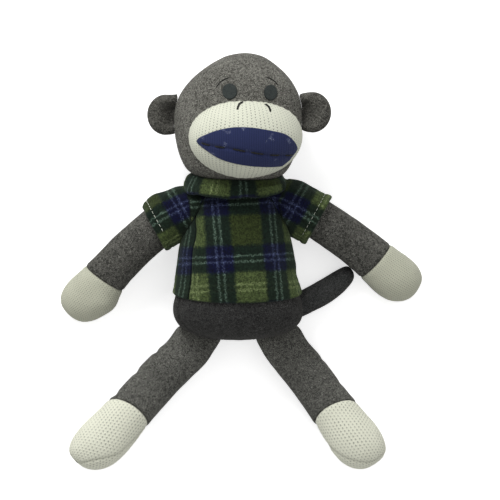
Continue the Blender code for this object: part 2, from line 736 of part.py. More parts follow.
def make_shirt(rings, place, pivots):
    """The pullover's front and back, parted along the side seams."""
    hem_point = Vector((0, TORSO_BOTTOM + HEM_SHARE * TORSO_HEIGHT, TORSO_CENTRE_HEIGHT))
    hem_place = Matrix.Translation(hem_point) @ Matrix.Rotation(HEM_TILT, 4, "X")
    below = box("hem_cutter", hem_place, (-TORSO_WIDTH, -TORSO_HEIGHT, -TORSO_DEPTH * 2),
                (TORSO_WIDTH, 0, TORSO_DEPTH * 2))
    rim = TORSO_BOTTOM + TORSO_HEIGHT - NECKLINE_INSET
    neckline = box("neckline_cutter", Matrix(), (-TORSO_WIDTH, rim, -TORSO_DEPTH),
                   (TORSO_WIDTH, TORSO_HEIGHT, TORSO_DEPTH * 2))
    holes = []
    for side, pivot in pivots.items():
        holes.append(ball("armhole_cutter_" + side, pivot, (ARM_WIDTH / 2 + ARMHOLE_ROOM,) * 3))
    turned = Matrix.Translation(hem_point) @ Matrix.Rotation(SEAM_TURN, 4, "Y")
    span = TORSO_HEIGHT * 2
    back_side = box("back_half_cutter", turned, (-span, -span, -span), (span, span, GAP / 2))
    front_side = box("front_half_cutter", turned, (-span, -span, -GAP / 2), (span, span, span))
    for name, half in (("shirt_front", back_side), ("shirt_back", front_side)):
        panel = wall(form(name, rings, BODY_SIDES, place, GAP * 2 + SHIRT_WALL), SHIRT_WALL)
        for cutter in (*holes, below, neckline, half):
            cut(panel, cutter)
        if name == "shirt_back":
            cut(panel, floor_cutter)
        finish(panel, PLAID)


def make_sleeve(side, arm, body_cutters):
    """One short sleeve over the arm's root, with the stitches along its hem."""
    rings, place, pivot, swing = arm
    sign = SIDES[side]["sign"]
    turn = -SLEEVE_TURN if sign > 0 else pi + SLEEVE_TURN
    start = pivot - placed(Vector((0, 0, 0)), turn) @ Vector((SLEEVE_BACK, 0, 0))
    sleeve_place = placed(start, turn)
    sleeve_rings = rings_from(SLEEVE_RING_SHARES, SLEEVE_LENGTH, SLEEVE_WIDTH, SLEEVE_DEPTH, sign)
    gain = ring_gain(SLEEVE_SIDES)
    sleeve = subdivide(cage("sleeve_" + side, sleeve_rings, SLEEVE_SIDES, sleeve_place, gain, open_ends=True))
    tree = surface_of(sleeve)
    wall(sleeve, SHIRT_WALL)
    arm_cutter = form("arm_cutter_" + side, rings, LIMB_SIDES, place, GAP)
    for cutter in (*body_cutters, arm_cutter):
        cut(sleeve, cutter)
    inset = SLEEVE_LENGTH - SLEEVE_STITCH_INSET
    ends = [Vector((inset, share * SLEEVE_WIDTH, 0)) for share in (-0.36, 0.0, 0.36)]
    path = smooth_path([sleeve_place @ point for point in ends], THREAD_STEPS)
    laid = drape_down([tree], path, SEAM_THREAD_LIFT)
    finish(tube("sleeve_thread_" + side, laid, SEAM_THREAD_RADIUS), WHITE, swing)
    finish(sleeve, PLAID, swing)


def collar_tube(name, amount):
    """The rolled collar's tube, larger all round by an amount."""
    radius = COLLAR_HEIGHT / 2
    points = []
    for index in range(COLLAR_POINTS):
        angle = 2 * pi * index / COLLAR_POINTS
        drop = COLLAR_FRONT_DROP if sin(angle) > 0 else COLLAR_BACK_DROP
        aside = (COLLAR_WIDTH / 2 - radius) * cos(angle)
        ahead = (COLLAR_DEPTH / 2 - radius) * sin(angle)
        points.append(NECK_POINT + Vector((aside, COLLAR_RISE - drop * abs(sin(angle)), ahead)))
    return as_mesh(tube(name, points, radius + amount, cyclic=True, resolution=2))


def make_collar(body_cutters):
    """The rolled collar band between the head and the shoulders."""
    band = collar_tube("collar", 0.0)
    for cutter in body_cutters:
        cut(band, cutter)
    finish(band, PLAID)


reset_scene()
doll = new_collection("sock_monkey_doll")
cutters = new_collection("cutters")
neck_nod = joint_empty("joint_neck_nod", NECK_POINT)
head_turn = joint_empty("joint_head_turn", NECK_POINT, neck_nod)
neck_cutter = ball("neck_cutter", NECK_POINT, (NECK_RADIUS + GAP * 2,) * 3)
ground = TORSO_HEIGHT * 3
floor_cutter = box("floor_cutter", Matrix(), (-ground, -ground, -ground), (ground, ground, 0))

torso_rings, torso_place = make_torso()
torso_tree = surface_of(form("torso_guide", torso_rings, BODY_SIDES, torso_place))
make_neck()

head_rings = rings_from(HEAD_RING_SHARES, HEAD_HEIGHT, HEAD_WIDTH, HEAD_DEPTH, lift=HEAD_LIFT)
for head_ring in head_rings:
    head_ring[0].x += NECK_SPACE / 2
head_place = placed(NECK_POINT, pi / 2 + HEAD_ROLL)
make_head(head_rings, head_place)
head_gap = form("head_cutter", head_rings, BODY_SIDES, head_place, GAP)
head_tree = surface_of(form("head_guide", head_rings, BODY_SIDES, head_place))
make_muzzle(head_gap)
make_eyes(head_rings, head_place)

arms = {}
for body_side in SIDES:
    make_ear(body_side, head_tree, head_gap)
    arms[body_side] = make_arm(body_side, torso_tree)
    make_leg(body_side, torso_tree)
make_tail(torso_tree)
make_shirt(torso_rings, torso_place, {key: arm[2] for key, arm in arms.items()})
shirt_gap = form("shirt_cutter", torso_rings, BODY_SIDES, torso_place, GAP * 3 + SHIRT_WALL)
collar_gap = collar_tube("collar_cutter", GAP)
for body_side, arm_parts in arms.items():
    make_sleeve(body_side, arm_parts, (shirt_gap, collar_gap))
make_collar((head_gap, shirt_gap, neck_cutter, muzzle_form("muzzle_cutter", GAP)))
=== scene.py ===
"""Sock monkey doll in a plaid pullover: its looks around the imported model.

Metres, +Z up, the doll on its back. Every stuffed piece is a smooth loft through the same rings as
its solid, with its seams, gathers and dimples in the mesh and its knit or fleece in the material.
"""

import json
from contextlib import contextmanager
from math import asin, cos, pi, radians, sin

import bmesh
import bpy
import numpy as np
from mathutils import Matrix, Vector, noise
from mathutils.bvhtree import BVHTree


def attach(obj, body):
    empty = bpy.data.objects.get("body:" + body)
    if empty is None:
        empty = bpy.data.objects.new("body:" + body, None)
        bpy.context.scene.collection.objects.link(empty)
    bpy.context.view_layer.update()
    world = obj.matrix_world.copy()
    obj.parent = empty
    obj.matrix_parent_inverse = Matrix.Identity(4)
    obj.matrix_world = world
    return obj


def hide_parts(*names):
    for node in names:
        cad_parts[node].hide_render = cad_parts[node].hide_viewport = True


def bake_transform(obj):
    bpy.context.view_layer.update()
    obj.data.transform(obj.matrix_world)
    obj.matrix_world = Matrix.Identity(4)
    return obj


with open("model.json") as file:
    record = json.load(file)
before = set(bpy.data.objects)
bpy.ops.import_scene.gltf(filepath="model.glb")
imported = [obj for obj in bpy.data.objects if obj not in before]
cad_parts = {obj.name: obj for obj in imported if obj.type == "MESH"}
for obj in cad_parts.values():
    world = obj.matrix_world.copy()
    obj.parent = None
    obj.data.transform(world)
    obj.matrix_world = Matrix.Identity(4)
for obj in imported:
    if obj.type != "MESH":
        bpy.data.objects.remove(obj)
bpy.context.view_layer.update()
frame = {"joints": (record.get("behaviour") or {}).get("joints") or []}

MM = 0.001
CAMERA_HEIGHT = 9.0
THREAD_PITCH = 0.0028

# Places and sizes of the solids
TORSO = (0.120, 0.1056, 0.072)
TORSO_BOTTOM = -0.063
TORSO_LEVEL = 0.0376
NECK_POINT = Vector((-0.0022, 0.06075, 0.038))
NECK_RADIUS = 0.016
HEAD = (0.1035, 0.1022, 0.089)
HEAD_LIFT = 0.006
HEAD_START = 0.00375
HEAD_ROLL = radians(-2.2)
FACE_YAW = radians(9.0)
FACE_PITCH = radians(12.0)
MUZZLE_HALVES = (0.04575, 0.03325, 0.035)
MUZZLE_POINT = Vector((0.005976, 0.10008, 0.07))
ARM = (0.1155, 0.0336, 0.0305)
ARM_DIP = asin((0.033 + 0.0005 - 0.01525) / (0.83 * 0.1155))
WRIST = 0.640 * 0.1155
LEG = (0.136, 0.0354, 0.030)
HIP_SLANT = radians(18.0)
ANKLE_SHARE = 0.565
WRIST_SLANTS = {"left": 0.22, "right": 0.13}
PALM_FILLS = {"left": 0.0030, "right": 0.0}
ANKLE_LEAN = radians(-27.0)
ANKLE_SHIFT = 0.002
ANKLE_SLANT = 0.12
LEG_TUCKS = {"left": (0.0263, 0.0012), "right": (0.0313, 0.0007)}
LEG_REACH = (0.0045, 0.0030)
TUCK_EVERY = 0.024
FLOOR_REST = 0.0005
TAIL = (0.0545, 0.018, 0.018)
TAIL_ANGLE = radians(32.0)
SHIRT_OUT = 0.0024
HEM_SHARE = 0.315
HEM_TILT = radians(12.0)
NECKLINE = 0.0535
SLEEVE = (0.035, 0.043, 0.041)
SLEEVE_TURN = radians(29.0)
SLEEVE_BACK = 0.018
COLLAR = (0.0828, 0.066, 0.0132)
EAR = (0.030, 0.0325, 0.0125)
EAR_OFFSETS = {"left": 0.0038, "right": 0.0062}
EAR_RISES = {"left": 0.0010, "right": 0.0}
EAR_DEPTH = 0.0088
EAR_ROOTS = {"left": (-0.0538, 0.11674, 0.044), "right": (0.05332, 0.11975, 0.044)}
EAR_FILLS = {"left": (1.15, 0.7), "right": (0.7, 0.4)}

SIDES = {
    "left": {"sign": -1, "arm": radians(43.0), "leg": radians(42.3), "toe_share": 1.0, "toe_turn": 1.5},
    "right": {"sign": 1, "arm": radians(34.9), "leg": radians(36.4), "toe_share": 0.915, "toe_turn": 1.0},
}

# Rings, as shares: along, aside, rise, across, deep, turn
TORSO_RINGS = (
    (0.000, 0.0, -0.028, 0.33, 0.36, 0), (0.045, 0.0, -0.020, 0.74, 0.68, 0),
    (0.115, 0.0, -0.012, 0.95, 0.90, 0), (0.220, 0.0, -0.004, 1.010, 1.010, 0),
    (0.370, 0.005, -0.002, 0.890, 1.020, 0), (0.560, 0.020, -0.020, 0.85, 0.985, 0),
    (0.730, 0.012, -0.034, 0.755, 0.86, 0), (0.870, 0.0, -0.046, 0.650, 0.71, 0),
    (1.000, 0.0, 0.000, 0.450, 0.52, 0),
)
HEAD_RINGS = (
    (0.000, 0.0, 0.0, 0.42, 0.44, 0), (0.045, 0.0, 0.0, 0.74, 0.72, 0), (0.140, 0.0, 0.0, 0.86, 0.85, 0),
    (0.300, 0.0, 0.0, 0.975, 0.975, 0), (0.500, 0.0, 0.0, 1.025, 1.025, 0), (0.695, -0.015, 0.0, 0.935, 0.96, 0),
    (0.840, -0.030, 0.0, 0.695, 0.78, 0), (0.950, -0.042, 0.0, 0.40, 0.48, 0), (0.995, -0.055, 0.0, 0.16, 0.24, 0),
)
ARM_RINGS = (
    (-0.142, 0.0, 0.0, 0.46, 0.50, 0), (-0.105, 0.0, 0.0, 0.80, 0.86, 0), (0.000, 0.0, 0.0, 1.00, 1.08, 0),
    (0.160, 0.045, 0.0, 0.98, 1.04, 0), (0.400, 0.075, 0.0, 1.00, 1.00, 0), (0.640, 0.0, 0.0, 1.03, 0.96, 0),
    (0.770, -0.055, 0.0, 1.16, 1.04, 0), (0.885, -0.045, 0.0, 1.13, 1.02, 0), (0.965, -0.015, 0.0, 0.82, 0.78, 0),
    (1.000, 0.0, 0.0, 0.42, 0.42, 0),
)
LEG_RINGS = (
    (-0.049, -0.05, 0.0, 0.92, 0.24, 1), (-0.030, -0.02, 0.0, 1.03, 0.44, 1), (0.012, 0.0, 0.0, 1.03, 0.50, 1),
    (0.090, 0.0, 0.0, 1.01, 0.72, 0.5), (0.200, 0.0, 0.0, 1.00, 0.97, 0), (0.380, 0.0, 0.0, 1.00, 1.00, 0),
    (0.570, 0.0, 0.0, 1.02, 1.00, 0), (0.720, -0.01, 0.03, 1.15, 1.06, 0), (0.860, 0.00, 0.02, 1.17, 1.04, 0),
    (0.955, 0.04, 0.01, 0.88, 0.80, 0), (1.000, 0.08, 0.0, 0.44, 0.42, 0),
)
TAIL_RINGS = (
    (-0.165, 0.0, 0.0, 0.50, 0.50, 0), (-0.120, 0.0, 0.0, 0.85, 0.85, 0), (0.000, 0.0, 0.0, 1.04, 1.02, 0),
    (0.220, 0.04, 0.0, 1.10, 1.02, 0), (0.470, 0.11, 0.0, 1.10, 1.02, 0), (0.740, 0.06, 0.0, 1.03, 1.00, 0),
    (0.930, -0.02, 0.0, 0.80, 0.80, 0), (1.000, -0.06, 0.0, 0.42, 0.42, 0),
)
SLEEVE_RINGS = (
    (-0.66, -0.02, 0.0, 0.30, 0.42, 0), (-0.34, -0.05, 0.0, 0.58, 0.70, 0), (0.00, -0.03, 0.0, 0.96, 0.95, 0),
    (0.50, -0.02, 0.0, 1.02, 1.00, 0), (0.80, -0.03, 0.0, 1.02, 1.00, 0), (1.00, -0.03, 0.0, 0.94, 0.98, 0),
    (1.20, -0.03, 0.0, 0.90, 0.96, 0),
)
# The ear's rings, from the middle of its back to the middle of its cup: along, across, shift to the head
EAR_RINGS = (
    (-0.50, 0.34, 0.0), (-0.42, 0.74, 0.0), (-0.22, 0.96, 0.0), (0.02, 1.02, 0.0), (0.32, 0.96, 0.0),
    (0.54, 0.72, 0.05), (0.44, 0.50, 0.15), (0.04, 0.36, 0.22), (-0.10, 0.18, 0.24),
)

# The face, in millimetres of the row frame seen from the front
EYES = {"left": (-6.5, 135.7, 6.0, 6.4), "right": (25.9, 134.9, 5.3, 6.3)}
BROWS = {
    "left": ((-17.6, 138.8), (-13.1, 144.0), (-6.4, 147.2)),
    "right": ((21.8, 147.5), (27.8, 145.0), (32.3, 140.6)),
}
NOSTRILS = {
    "left": ((4.1, 127.6), (1.0, 125.2), (-0.5, 121.2)),
    "right": ((21.6, 125.6), (24.4, 123.2), (26.0, 119.6)),
}
LIPS = (
    (-32.6, 96.6), (-21.9, 102.8), (-7.2, 106.6), (8.0, 107.0), (24.2, 104.8), (39.0, 101.0), (47.2, 91.4),
    (44.2, 80.2), (33.8, 76.4), (18.6, 75.9), (3.2, 77.4), (-12.0, 81.2), (-24.2, 88.2),
)
MOUTH = (
    (-30.5, 95.3), (-21.5, 92.7), (-11.5, 91.0), (-3.0, 89.7), (4.6, 88.2), (9.8, 87.3), (19.3, 85.9),
    (24.0, 85.3), (32.0, 85.1), (41.7, 85.2), (46.6, 86.2),
)
MOUTH_DASHES = ((0.02, 0.115), (0.165, 0.265), (0.345, 0.475), (0.54, 0.67), (0.73, 0.83), (0.885, 0.965))
# The foot's toe seams, in the same millimetres
SOLE_SEAMS = {
    "left": ((-136.0, -156.0), (-128.0, -160.8), (-112.8, -158.4),
             (-97.6, -154.4), (-86.4, -145.6), (-73.5, -132.0)),
    "right": ((61.8, -130.5), (69.6, -144.0), (82.4, -155.2), (94.4, -159.6), (107.2, -160.2), (117.0, -154.0)),
}

# The pullover: where its plaid starts, its folds in millimetres (place, turn, length, height) and its hems
PLAID_LEAN = 0.09
PLAID_LEVEL = 0.0024
PLAID_DROP = 0.045
BODY_ZERO = np.array((-0.0141, 0.00225))
BACK_STRIPE = 0.0538
SLEEVE_ZEROS = {"left": np.array((0.0081, 0.004)), "right": np.array((0.0567, -0.001))}
COLLAR_ZERO = np.array((0.0064, -0.018))
FOLDS = (
    (-41.0, 25.0, radians(55.0), 11.0, 0.00196), (-36.0, 33.0, radians(68.0), 10.0, -0.0014),
    (41.0, 30.0, radians(118.0), 11.0, 0.00182), (35.0, 38.0, radians(110.0), 9.0, -0.00126),
    (-30.0, 12.0, radians(75.0), 14.0, 0.00084), (38.0, 8.0, radians(100.0), 13.0, 0.00112),
    (-20.0, -12.0, radians(85.0), 12.0, 0.0007), (12.0, -16.0, radians(95.0), 11.0, 0.0007),
    (44.0, -12.0, radians(70.0), 9.0, -0.00112),
)
ARMHOLE_REACH = 0.0198
ARMHOLES = {
    "left": ((-37.6, 12.0), (-37.6, 42.0), (-41.3, 61.0)),
    "right": ((36.8, 12.0), (36.8, 24.0), (32.0, 49.6), (38.9, 66.0)),
}
CUFF_DROPS = {"left": 0.0030, "right": -0.0006}
HEM_DEPTH = 0.006
HEM_STITCH = 0.0028
HEM_STITCH_EVERY = 0.0041
COLLAR_FILL = 0.0150
COLLAR_GIRTH = 0.0432

# Where the limbs turn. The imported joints' places take over from these
PIVOTS = {"left": (-0.0536, 0.0366, 0.033), "right": (0.0499, 0.04236, 0.033)}
HINGES = {"left": (-0.0352, -0.063, 0.022), "right": (0.0352, -0.063, 0.022)}
TAIL_ROOT = (0.04671, -0.03636, 0.0085)
for joint in frame["joints"]:
    kind, _, side_name = joint["name"].rpartition("_")
    for stem, spots in (("shoulder_swing", PIVOTS), ("hip_flex", HINGES)):
        if kind == stem:
            spots[side_name] = tuple(joint["pos_m"])
    if joint["name"] == "tail_swing":
        TAIL_ROOT = tuple(joint["pos_m"])


def srgb(red, green, blue):
    """A colour as a picture shows it, in the values that a shader takes."""
    return tuple(((c / 255 + 0.055) / 1.055) ** 2.4 if c > 10 else c / 3294.6 for c in (red, green, blue)) + (1.0,)


class Graph:
    """The nodes of one material, added one after another."""

    def __init__(self, name, roughness, sheen=0.0, tint=(1, 1, 1, 1)):
        self.material = bpy.data.materials.new(name)
        self.material.use_nodes = True
        self.tree = self.material.node_tree
        self.shader = self.tree.nodes["Principled BSDF"]
        self.shader.inputs["Roughness"].default_value = roughness
        self.shader.inputs["Specular IOR Level"].default_value = 0.15
        self.shader.inputs["Sheen Weight"].default_value = sheen
        self.shader.inputs["Sheen Roughness"].default_value = 0.5
        self.shader.inputs["Sheen Tint"].default_value = tint

    def node(self, kind, **settings):
        made = self.tree.nodes.new(kind)
        for key, value in settings.items():
            setattr(made, key, value)
        return made

    def put(self, value, socket):
        if isinstance(value, bpy.types.NodeSocket):
            self.tree.links.new(value, socket)
        else:
            socket.default_value = value

    def math(self, operation, first, second=0.0, clamp=False):
        made = self.node("ShaderNodeMath", operation=operation, use_clamp=clamp)
        for value, socket in zip((first, second), made.inputs):
            self.put(value, socket)
        return made.outputs[0]

    def times(self, first, second, clamp=False):
        return self.math("MULTIPLY", first, second, clamp=clamp)

    def plus(self, first, second):
        return self.math("ADD", first, second)

    def less(self, first, second):
        return self.math("SUBTRACT", first, second)

    def apart(self, first, second):
        return self.math("ABSOLUTE", self.less(first, second))

    def mix(self, share, first, second, blend="MIX"):
        made = self.node("ShaderNodeMix", data_type="RGBA", blend_type=blend)
        for value, socket in ((share, made.inputs[0]), (first, made.inputs[6]), (second, made.inputs[7])):
            self.put(value, socket)
        return made.outputs[2]

    def spread(self, value, low, high, start=0.0, end=1.0):
        made = self.node("ShaderNodeMapRange", interpolation_type="SMOOTHSTEP")
        for entry, socket in zip((value, low, high, start, end), made.inputs):
            self.put(entry, socket)
        return made.outputs[0]

    def noise(self, vector, scale, detail=2.0, roughness=0.5, distortion=0.0):
        made = self.node("ShaderNodeTexNoise")
        self.put(vector, made.inputs["Vector"])
        made.inputs["Scale"].default_value = scale
        made.inputs["Detail"].default_value = detail
        made.inputs["Roughness"].default_value = roughness
        made.inputs["Distortion"].default_value = distortion
        return made.outputs[0]

    def place(self, kind="UV"):
        return self.node("ShaderNodeTexCoord").outputs[kind]

    def across_along(self):
        parts = self.node("ShaderNodeSeparateXYZ")
        self.put(self.place(), parts.inputs[0])
        return parts.outputs[0], parts.outputs[1]

    def with_painted_shade(self, colour, amount, dark):
        """The colour with painted shade, darker along the seams, rims and hollows that the mesh marks."""
        painted_shade = self.node("ShaderNodeAttribute", attribute_name="painted_shade").outputs["Fac"]
        return self.mix(self.times(painted_shade, amount, clamp=True), colour, dark)

    def done(self, colour, height, distance, strength):
        bump = self.node("ShaderNodeBump")
        bump.inputs["Strength"].default_value = strength
        bump.inputs["Distance"].default_value = distance
        self.put(height, bump.inputs["Height"])
        self.put(colour, self.shader.inputs["Base Color"])
        self.put(bump.outputs[0], self.shader.inputs["Normal"])
        return self.material


def shaded(colour, by):
    """A colour made darker."""
    return tuple(by * c for c in colour[:3]) + (1,)


def fleece(name, light, dark, pebble):
    """Short brushed fleece: wormy ridges and pebbles with dark crevices between them."""
    g = Graph(name, 0.95, 0.12, srgb(180, 178, 168))
    place = g.place("Object")
    worms = g.noise(place, pebble, 2.0, 0.55, 1.2)
    ridges = g.spread(g.apart(worms, 0.53), 0.050, 0.0)
    fuzz = g.noise(place, pebble * 2.6, 2.0, 0.6, 0.4)
    height = g.plus(g.times(g.spread(worms, 0.36, 0.62), 0.12), g.times(ridges, 0.62))
    height = g.plus(height, g.times(fuzz, 0.35))
    wide = g.noise(place, 30.0)
    tone = g.plus(height, g.times(g.less(wide, 0.5), 0.22))
    colour = g.mix(g.spread(tone, 0.05, 1.05), dark, light)
    # Painted shade: seams and hollows darken towards a deeper fleece colour
    return g.done(g.with_painted_shade(colour, 0.75, shaded(dark, 0.35)), height, 0.0006, 0.8)


def knit(name, light, shade, wale, row, specks, hole, rib, lint=0.0):
    """Plain knit: columns of V stitches with a small dark hole beside each."""
    g = Graph(name, 0.9, 0.08)
    across, along = g.across_along()
    place = g.place()
    waver = g.times(g.less(g.noise(place, 120.0), 0.5), 0.5)
    column = g.plus(g.math("DIVIDE", across, wale), waver)
    side = g.times(g.apart(g.math("FRACT", column), 0.5), 2.0)
    slant = g.plus(g.math("DIVIDE", along, row), g.times(side, 0.6))
    slant = g.plus(slant, g.times(g.math("ROUND", column), 0.5))
    rise = g.math("SINE", g.times(g.math("FRACT", g.plus(slant, waver)), pi))
    arm = g.math("SINE", g.times(side, pi))
    stitch = g.math("POWER", g.math("ABSOLUTE", rise), 0.6)
    height = g.times(stitch, g.plus(g.times(arm, 0.42), 0.58))
    pores = g.times(g.spread(rise, 0.85, 0.30), g.spread(side, 0.52, 0.90))
    pores = g.times(pores, g.spread(g.noise(place, 55.0), 0.30, 0.62, 0.45, 1.0))
    colour = g.mix(g.spread(height, -0.6, 0.7), shade, light)
    colour = g.mix(g.times(g.spread(side, 0.60, 1.0), rib), colour, shade)
    colour = g.mix(g.times(pores, hole), colour, shaded(shade, 0.28))
    colour = g.mix(g.spread(g.noise(place, 30.0, 3.0), 0.35, 0.75, 0.0, 0.14), colour, shaded(light, 0.72))
    colour = g.mix(g.spread(g.noise(place, 2600.0), 0.45, 0.75, 0.0, 0.12), colour, shaded(light, 0.6))
    if specks:
        dots = g.node("ShaderNodeTexVoronoi", feature="F1")
        g.put(place, dots.inputs["Vector"])
        dots.inputs["Scale"].default_value = 95.0
        cell = g.node("ShaderNodeSeparateColor")
        g.put(dots.outputs["Color"], cell.inputs[0])
        rare = g.math("GREATER_THAN", cell.outputs[0], 1.0 - specks)
        spot = g.times(g.spread(dots.outputs["Distance"], 0.09, 0.04), rare)
        colour = g.mix(g.times(spot, 0.8), colour, srgb(60, 58, 50))
    if lint:
        hairs = g.noise(place, 520.0, 1.0, 0.5, 3.0)
        thin = g.spread(g.apart(hairs, 0.5), 0.035, 0.005)
        strand = g.times(thin, g.spread(g.noise(place, 130.0, 1.0), 0.70 - lint, 0.76 - lint))
        colour = g.mix(g.times(strand, 0.7), colour, srgb(176, 184, 212))
    # Painted shade: seams and rims darken towards a deeper stitch colour
    return g.done(g.with_painted_shade(colour, 0.6, shaded(shade, 0.3)), height, 0.00045, 0.7)


def plaid(name, period=0.0453):
    """Brushed flannel in a green and navy check, woven from bands with pale lines."""
    g = Graph(name, 0.95, 0.18, srgb(150, 170, 150))
    place = g.place()
    frays = g.times(g.less(g.noise(place, 480.0, 4.0, 0.75), 0.5), 0.0070)
    lanes = []
    for value in g.across_along():
        moved = g.math("DIVIDE", g.plus(value, frays), period)
        half = g.apart(g.math("FRACT", moved), 0.5)
        off = g.times(g.less(0.5, half), period)
        band = g.spread(off, 0.0124, 0.0090)
        line = g.spread(g.apart(off, 0.0023), 0.0014, 0.0003)
        odd = g.math("FLOORED_MODULO", g.math("FLOOR", moved), 2.0)
        fine = g.spread(g.apart(g.times(half, period), 0.0022), 0.0015, 0.0004)
        lanes.append((band, line, odd, g.times(fine, odd)))
    (band_a, line_a, odd_a, fine_a), (band_b, line_b, odd_b, fine_b) = lanes
    colour = g.mix(g.math("MAXIMUM", odd_a, odd_b), srgb(45, 54, 25), srgb(68, 80, 46))
    weave = g.spread(g.noise(place, 900.0, 3.0, 0.7), 0.36, 0.66)
    lines_in = g.times(g.math("MAXIMUM", fine_a, fine_b), g.plus(g.times(weave, 0.45), 0.15))
    colour = g.mix(lines_in, colour, srgb(132, 146, 98))
    both = g.times(band_a, band_b)
    colour = g.mix(g.times(g.math("MAXIMUM", band_a, band_b), 0.94), colour, srgb(12, 26, 21))
    colour = g.mix(both, colour, srgb(5, 7, 38))
    pale = g.math("MAXIMUM", g.times(line_a, band_a), g.times(line_b, band_b))
    broken = g.plus(g.times(weave, 0.62), 0.05)
    weaker = g.plus(g.times(both, -0.45), g.times(g.times(line_a, line_b), 0.75))
    seen = g.times(pale, g.times(broken, g.plus(weaker, 1.0)), clamp=True)
    colour = g.mix(seen, colour, g.mix(both, srgb(102, 124, 110), srgb(96, 107, 146)))
    nap = g.noise(place, 620.0, 3.0, 0.7, 1.4)
    wide = g.times(g.less(g.noise(place, 60.0), 0.5), 0.3)
    shadow = g.plus(g.spread(nap, 0.38, 0.62, 0.40, 1.34), wide)
    grey = g.node("ShaderNodeCombineColor")
    for socket in grey.inputs:
        g.put(shadow, socket)
    # Painted shade: the flannel darkens to near black along its seams and hems
    colour = g.with_painted_shade(g.mix(1.0, colour, grey.outputs[0], "MULTIPLY"), 0.8, srgb(10, 12, 14))
    return g.done(colour, g.plus(g.times(nap, 0.7), g.times(g.noise(place, 2600.0), 0.3)), 0.0007, 0.8)


def felt(name, light, dark):
    """Dense felt with short fibres."""
    g = Graph(name, 0.9, 0.1, srgb(120, 122, 120))
    fibres = g.noise(g.place("Object"), 1700.0, 3.0, 0.7, 1.5)
    colour = g.mix(g.spread(fibres, 0.35, 0.68), dark, light)
    # Painted shade: the felt darkens at its rim
    return g.done(g.with_painted_shade(colour, 0.7, shaded(dark, 0.3)), fibres, 0.0002, 0.7)


def yarn(name, light, dark):
    """Twisted thread, darker between its plies."""
    g = Graph(name, 0.7, 0.1)
    across, along = g.across_along()
    twist = g.math("ABSOLUTE", g.math("SINE", g.plus(g.times(along, 2400.0), g.times(across, 2.0))))
    colour = g.mix(g.spread(twist, 0.1, 0.8), dark, light)
    return g.done(colour, g.plus(twist, g.noise(g.place("Object"), 3000.0)), 0.00015, 0.6)


def placed(point, turn=0.0, pitch=0.0):
    """A place whose local X axis is turned about Z and then dipped about its own Y axis."""
    return Matrix.Translation(point) @ Matrix.Rotation(turn, 4, "Z") @ Matrix.Rotation(pitch, 4, "Y")


def ring_rows(shares, size, side=1, skew=0.0, lift=0.0):
    """Each ring's centre, half axes and turn in metres."""
    length, width, depth = size
    rows = []
    for along, aside, rise, across, deep, turn in shares:
        angle = skew * turn
        rows.append((along * length * cos(angle), along * length * sin(angle) + side * aside * width,
                     rise * depth + lift, across * width / 2, deep * depth / 2, angle))
    return np.array(rows)


def spline(rows, t):
    """Rings of a smooth form at t. Past each end the rings are mirrored, so the form closes round."""
    flip = np.array([1, 1, 1, -1, -1, 1.0])
    rows = np.concatenate([rows[[1, 0]] * flip, rows, rows[[-1, -2]] * flip])
    t = np.clip(np.asarray(t, float), -0.5, len(rows) - 4.5)
    start = np.floor(t).astype(int)
    f = (t - start)[..., None]
    start = start + 1
    weights = ((1 - f) ** 3, 3 * f ** 3 - 6 * f ** 2 + 4, -3 * f ** 3 + 3 * f ** 2 + 3 * f + 1, f ** 3)
    return sum(weight * rows[start + step] for step, weight in enumerate(weights)) / 6


def turns(count):
    """Angles of a ring's columns."""
    return np.linspace(0, 2 * pi, count, endpoint=False)[None, :]


def levels(low, high, count):
    """Values down a grid's rows."""
    return np.linspace(low, high, count)[:, None]


def round_off(phi, angle):
    """How far round each column lies from an angle."""
    return np.abs(np.angle(np.exp(1j * (phi - angle))))


def ball(theta, phi):
    """Places on a ball of radius 1 whose poles lie on Z."""
    flat = np.sin(theta)
    return np.stack(np.broadcast_arrays(flat * np.cos(phi), flat * np.sin(phi), np.cos(theta)), -1)


def moved(points, place):
    """Points of a local frame in the row frame."""
    turned = np.array(place)
    return points @ turned[:3, :3].T + turned[:3, 3]


def form(rows, place, t, phi):
    """Points of a form in the row frame. phi is 90 degrees where the form faces up."""
    t, phi = np.broadcast_arrays(t, phi)
    values = spline(rows, t)
    points = values[..., :3].copy()
    points[..., 0] -= np.sin(values[..., 5]) * values[..., 3] * np.cos(phi)
    points[..., 1] += np.cos(values[..., 5]) * values[..., 3] * np.cos(phi)
    points[..., 2] += values[..., 4] * np.sin(phi)
    return moved(points, place)


def normals(points, wrap=True):
    """Outward directions of a grid of points."""
    along = np.gradient(points, axis=0)
    around = np.roll(points, -1, 1) - np.roll(points, 1, 1) if wrap else np.gradient(points, axis=1)
    made = np.cross(around, along)
    size = np.linalg.norm(made, axis=-1, keepdims=True)
    made = made / np.maximum(size, 1e-15)
    for end, inner in ((0, 1), (-1, -2)):
        if size[end].max() < size[inner].max() * 0.02:
            mean = made[inner].mean(0)
            made[end] = mean / np.linalg.norm(mean)
    return made


def raised(base, lift, wrap=True):
    """A surface moved outwards."""
    return base + normals(base, wrap) * lift[..., None]


def lumps(points, scale, seed):
    """Smooth noise from about -1 to 1 at each point."""
    flat = points.reshape(-1, 3) / scale + seed * 7.31
    return np.array([noise.noise(p) for p in flat]).reshape(points.shape[:-1])


def bell(distance, width):
    """1 on a line, falling off over a width."""
    return np.exp(-((distance / width) ** 2))


def ramp(value, low, high):
    """A smooth step from 0 to 1."""
    t = np.clip((value - low) / (high - low), 0, 1)
    return t * t * (3 - 2 * t)


def lengths(points, axis):
    """Running length along a grid's rows or columns."""
    steps = np.linalg.norm(np.diff(points, axis=axis), axis=-1)
    start = np.zeros_like(np.take(steps, [0], axis))
    return np.concatenate([start, np.cumsum(steps, axis)], axis)


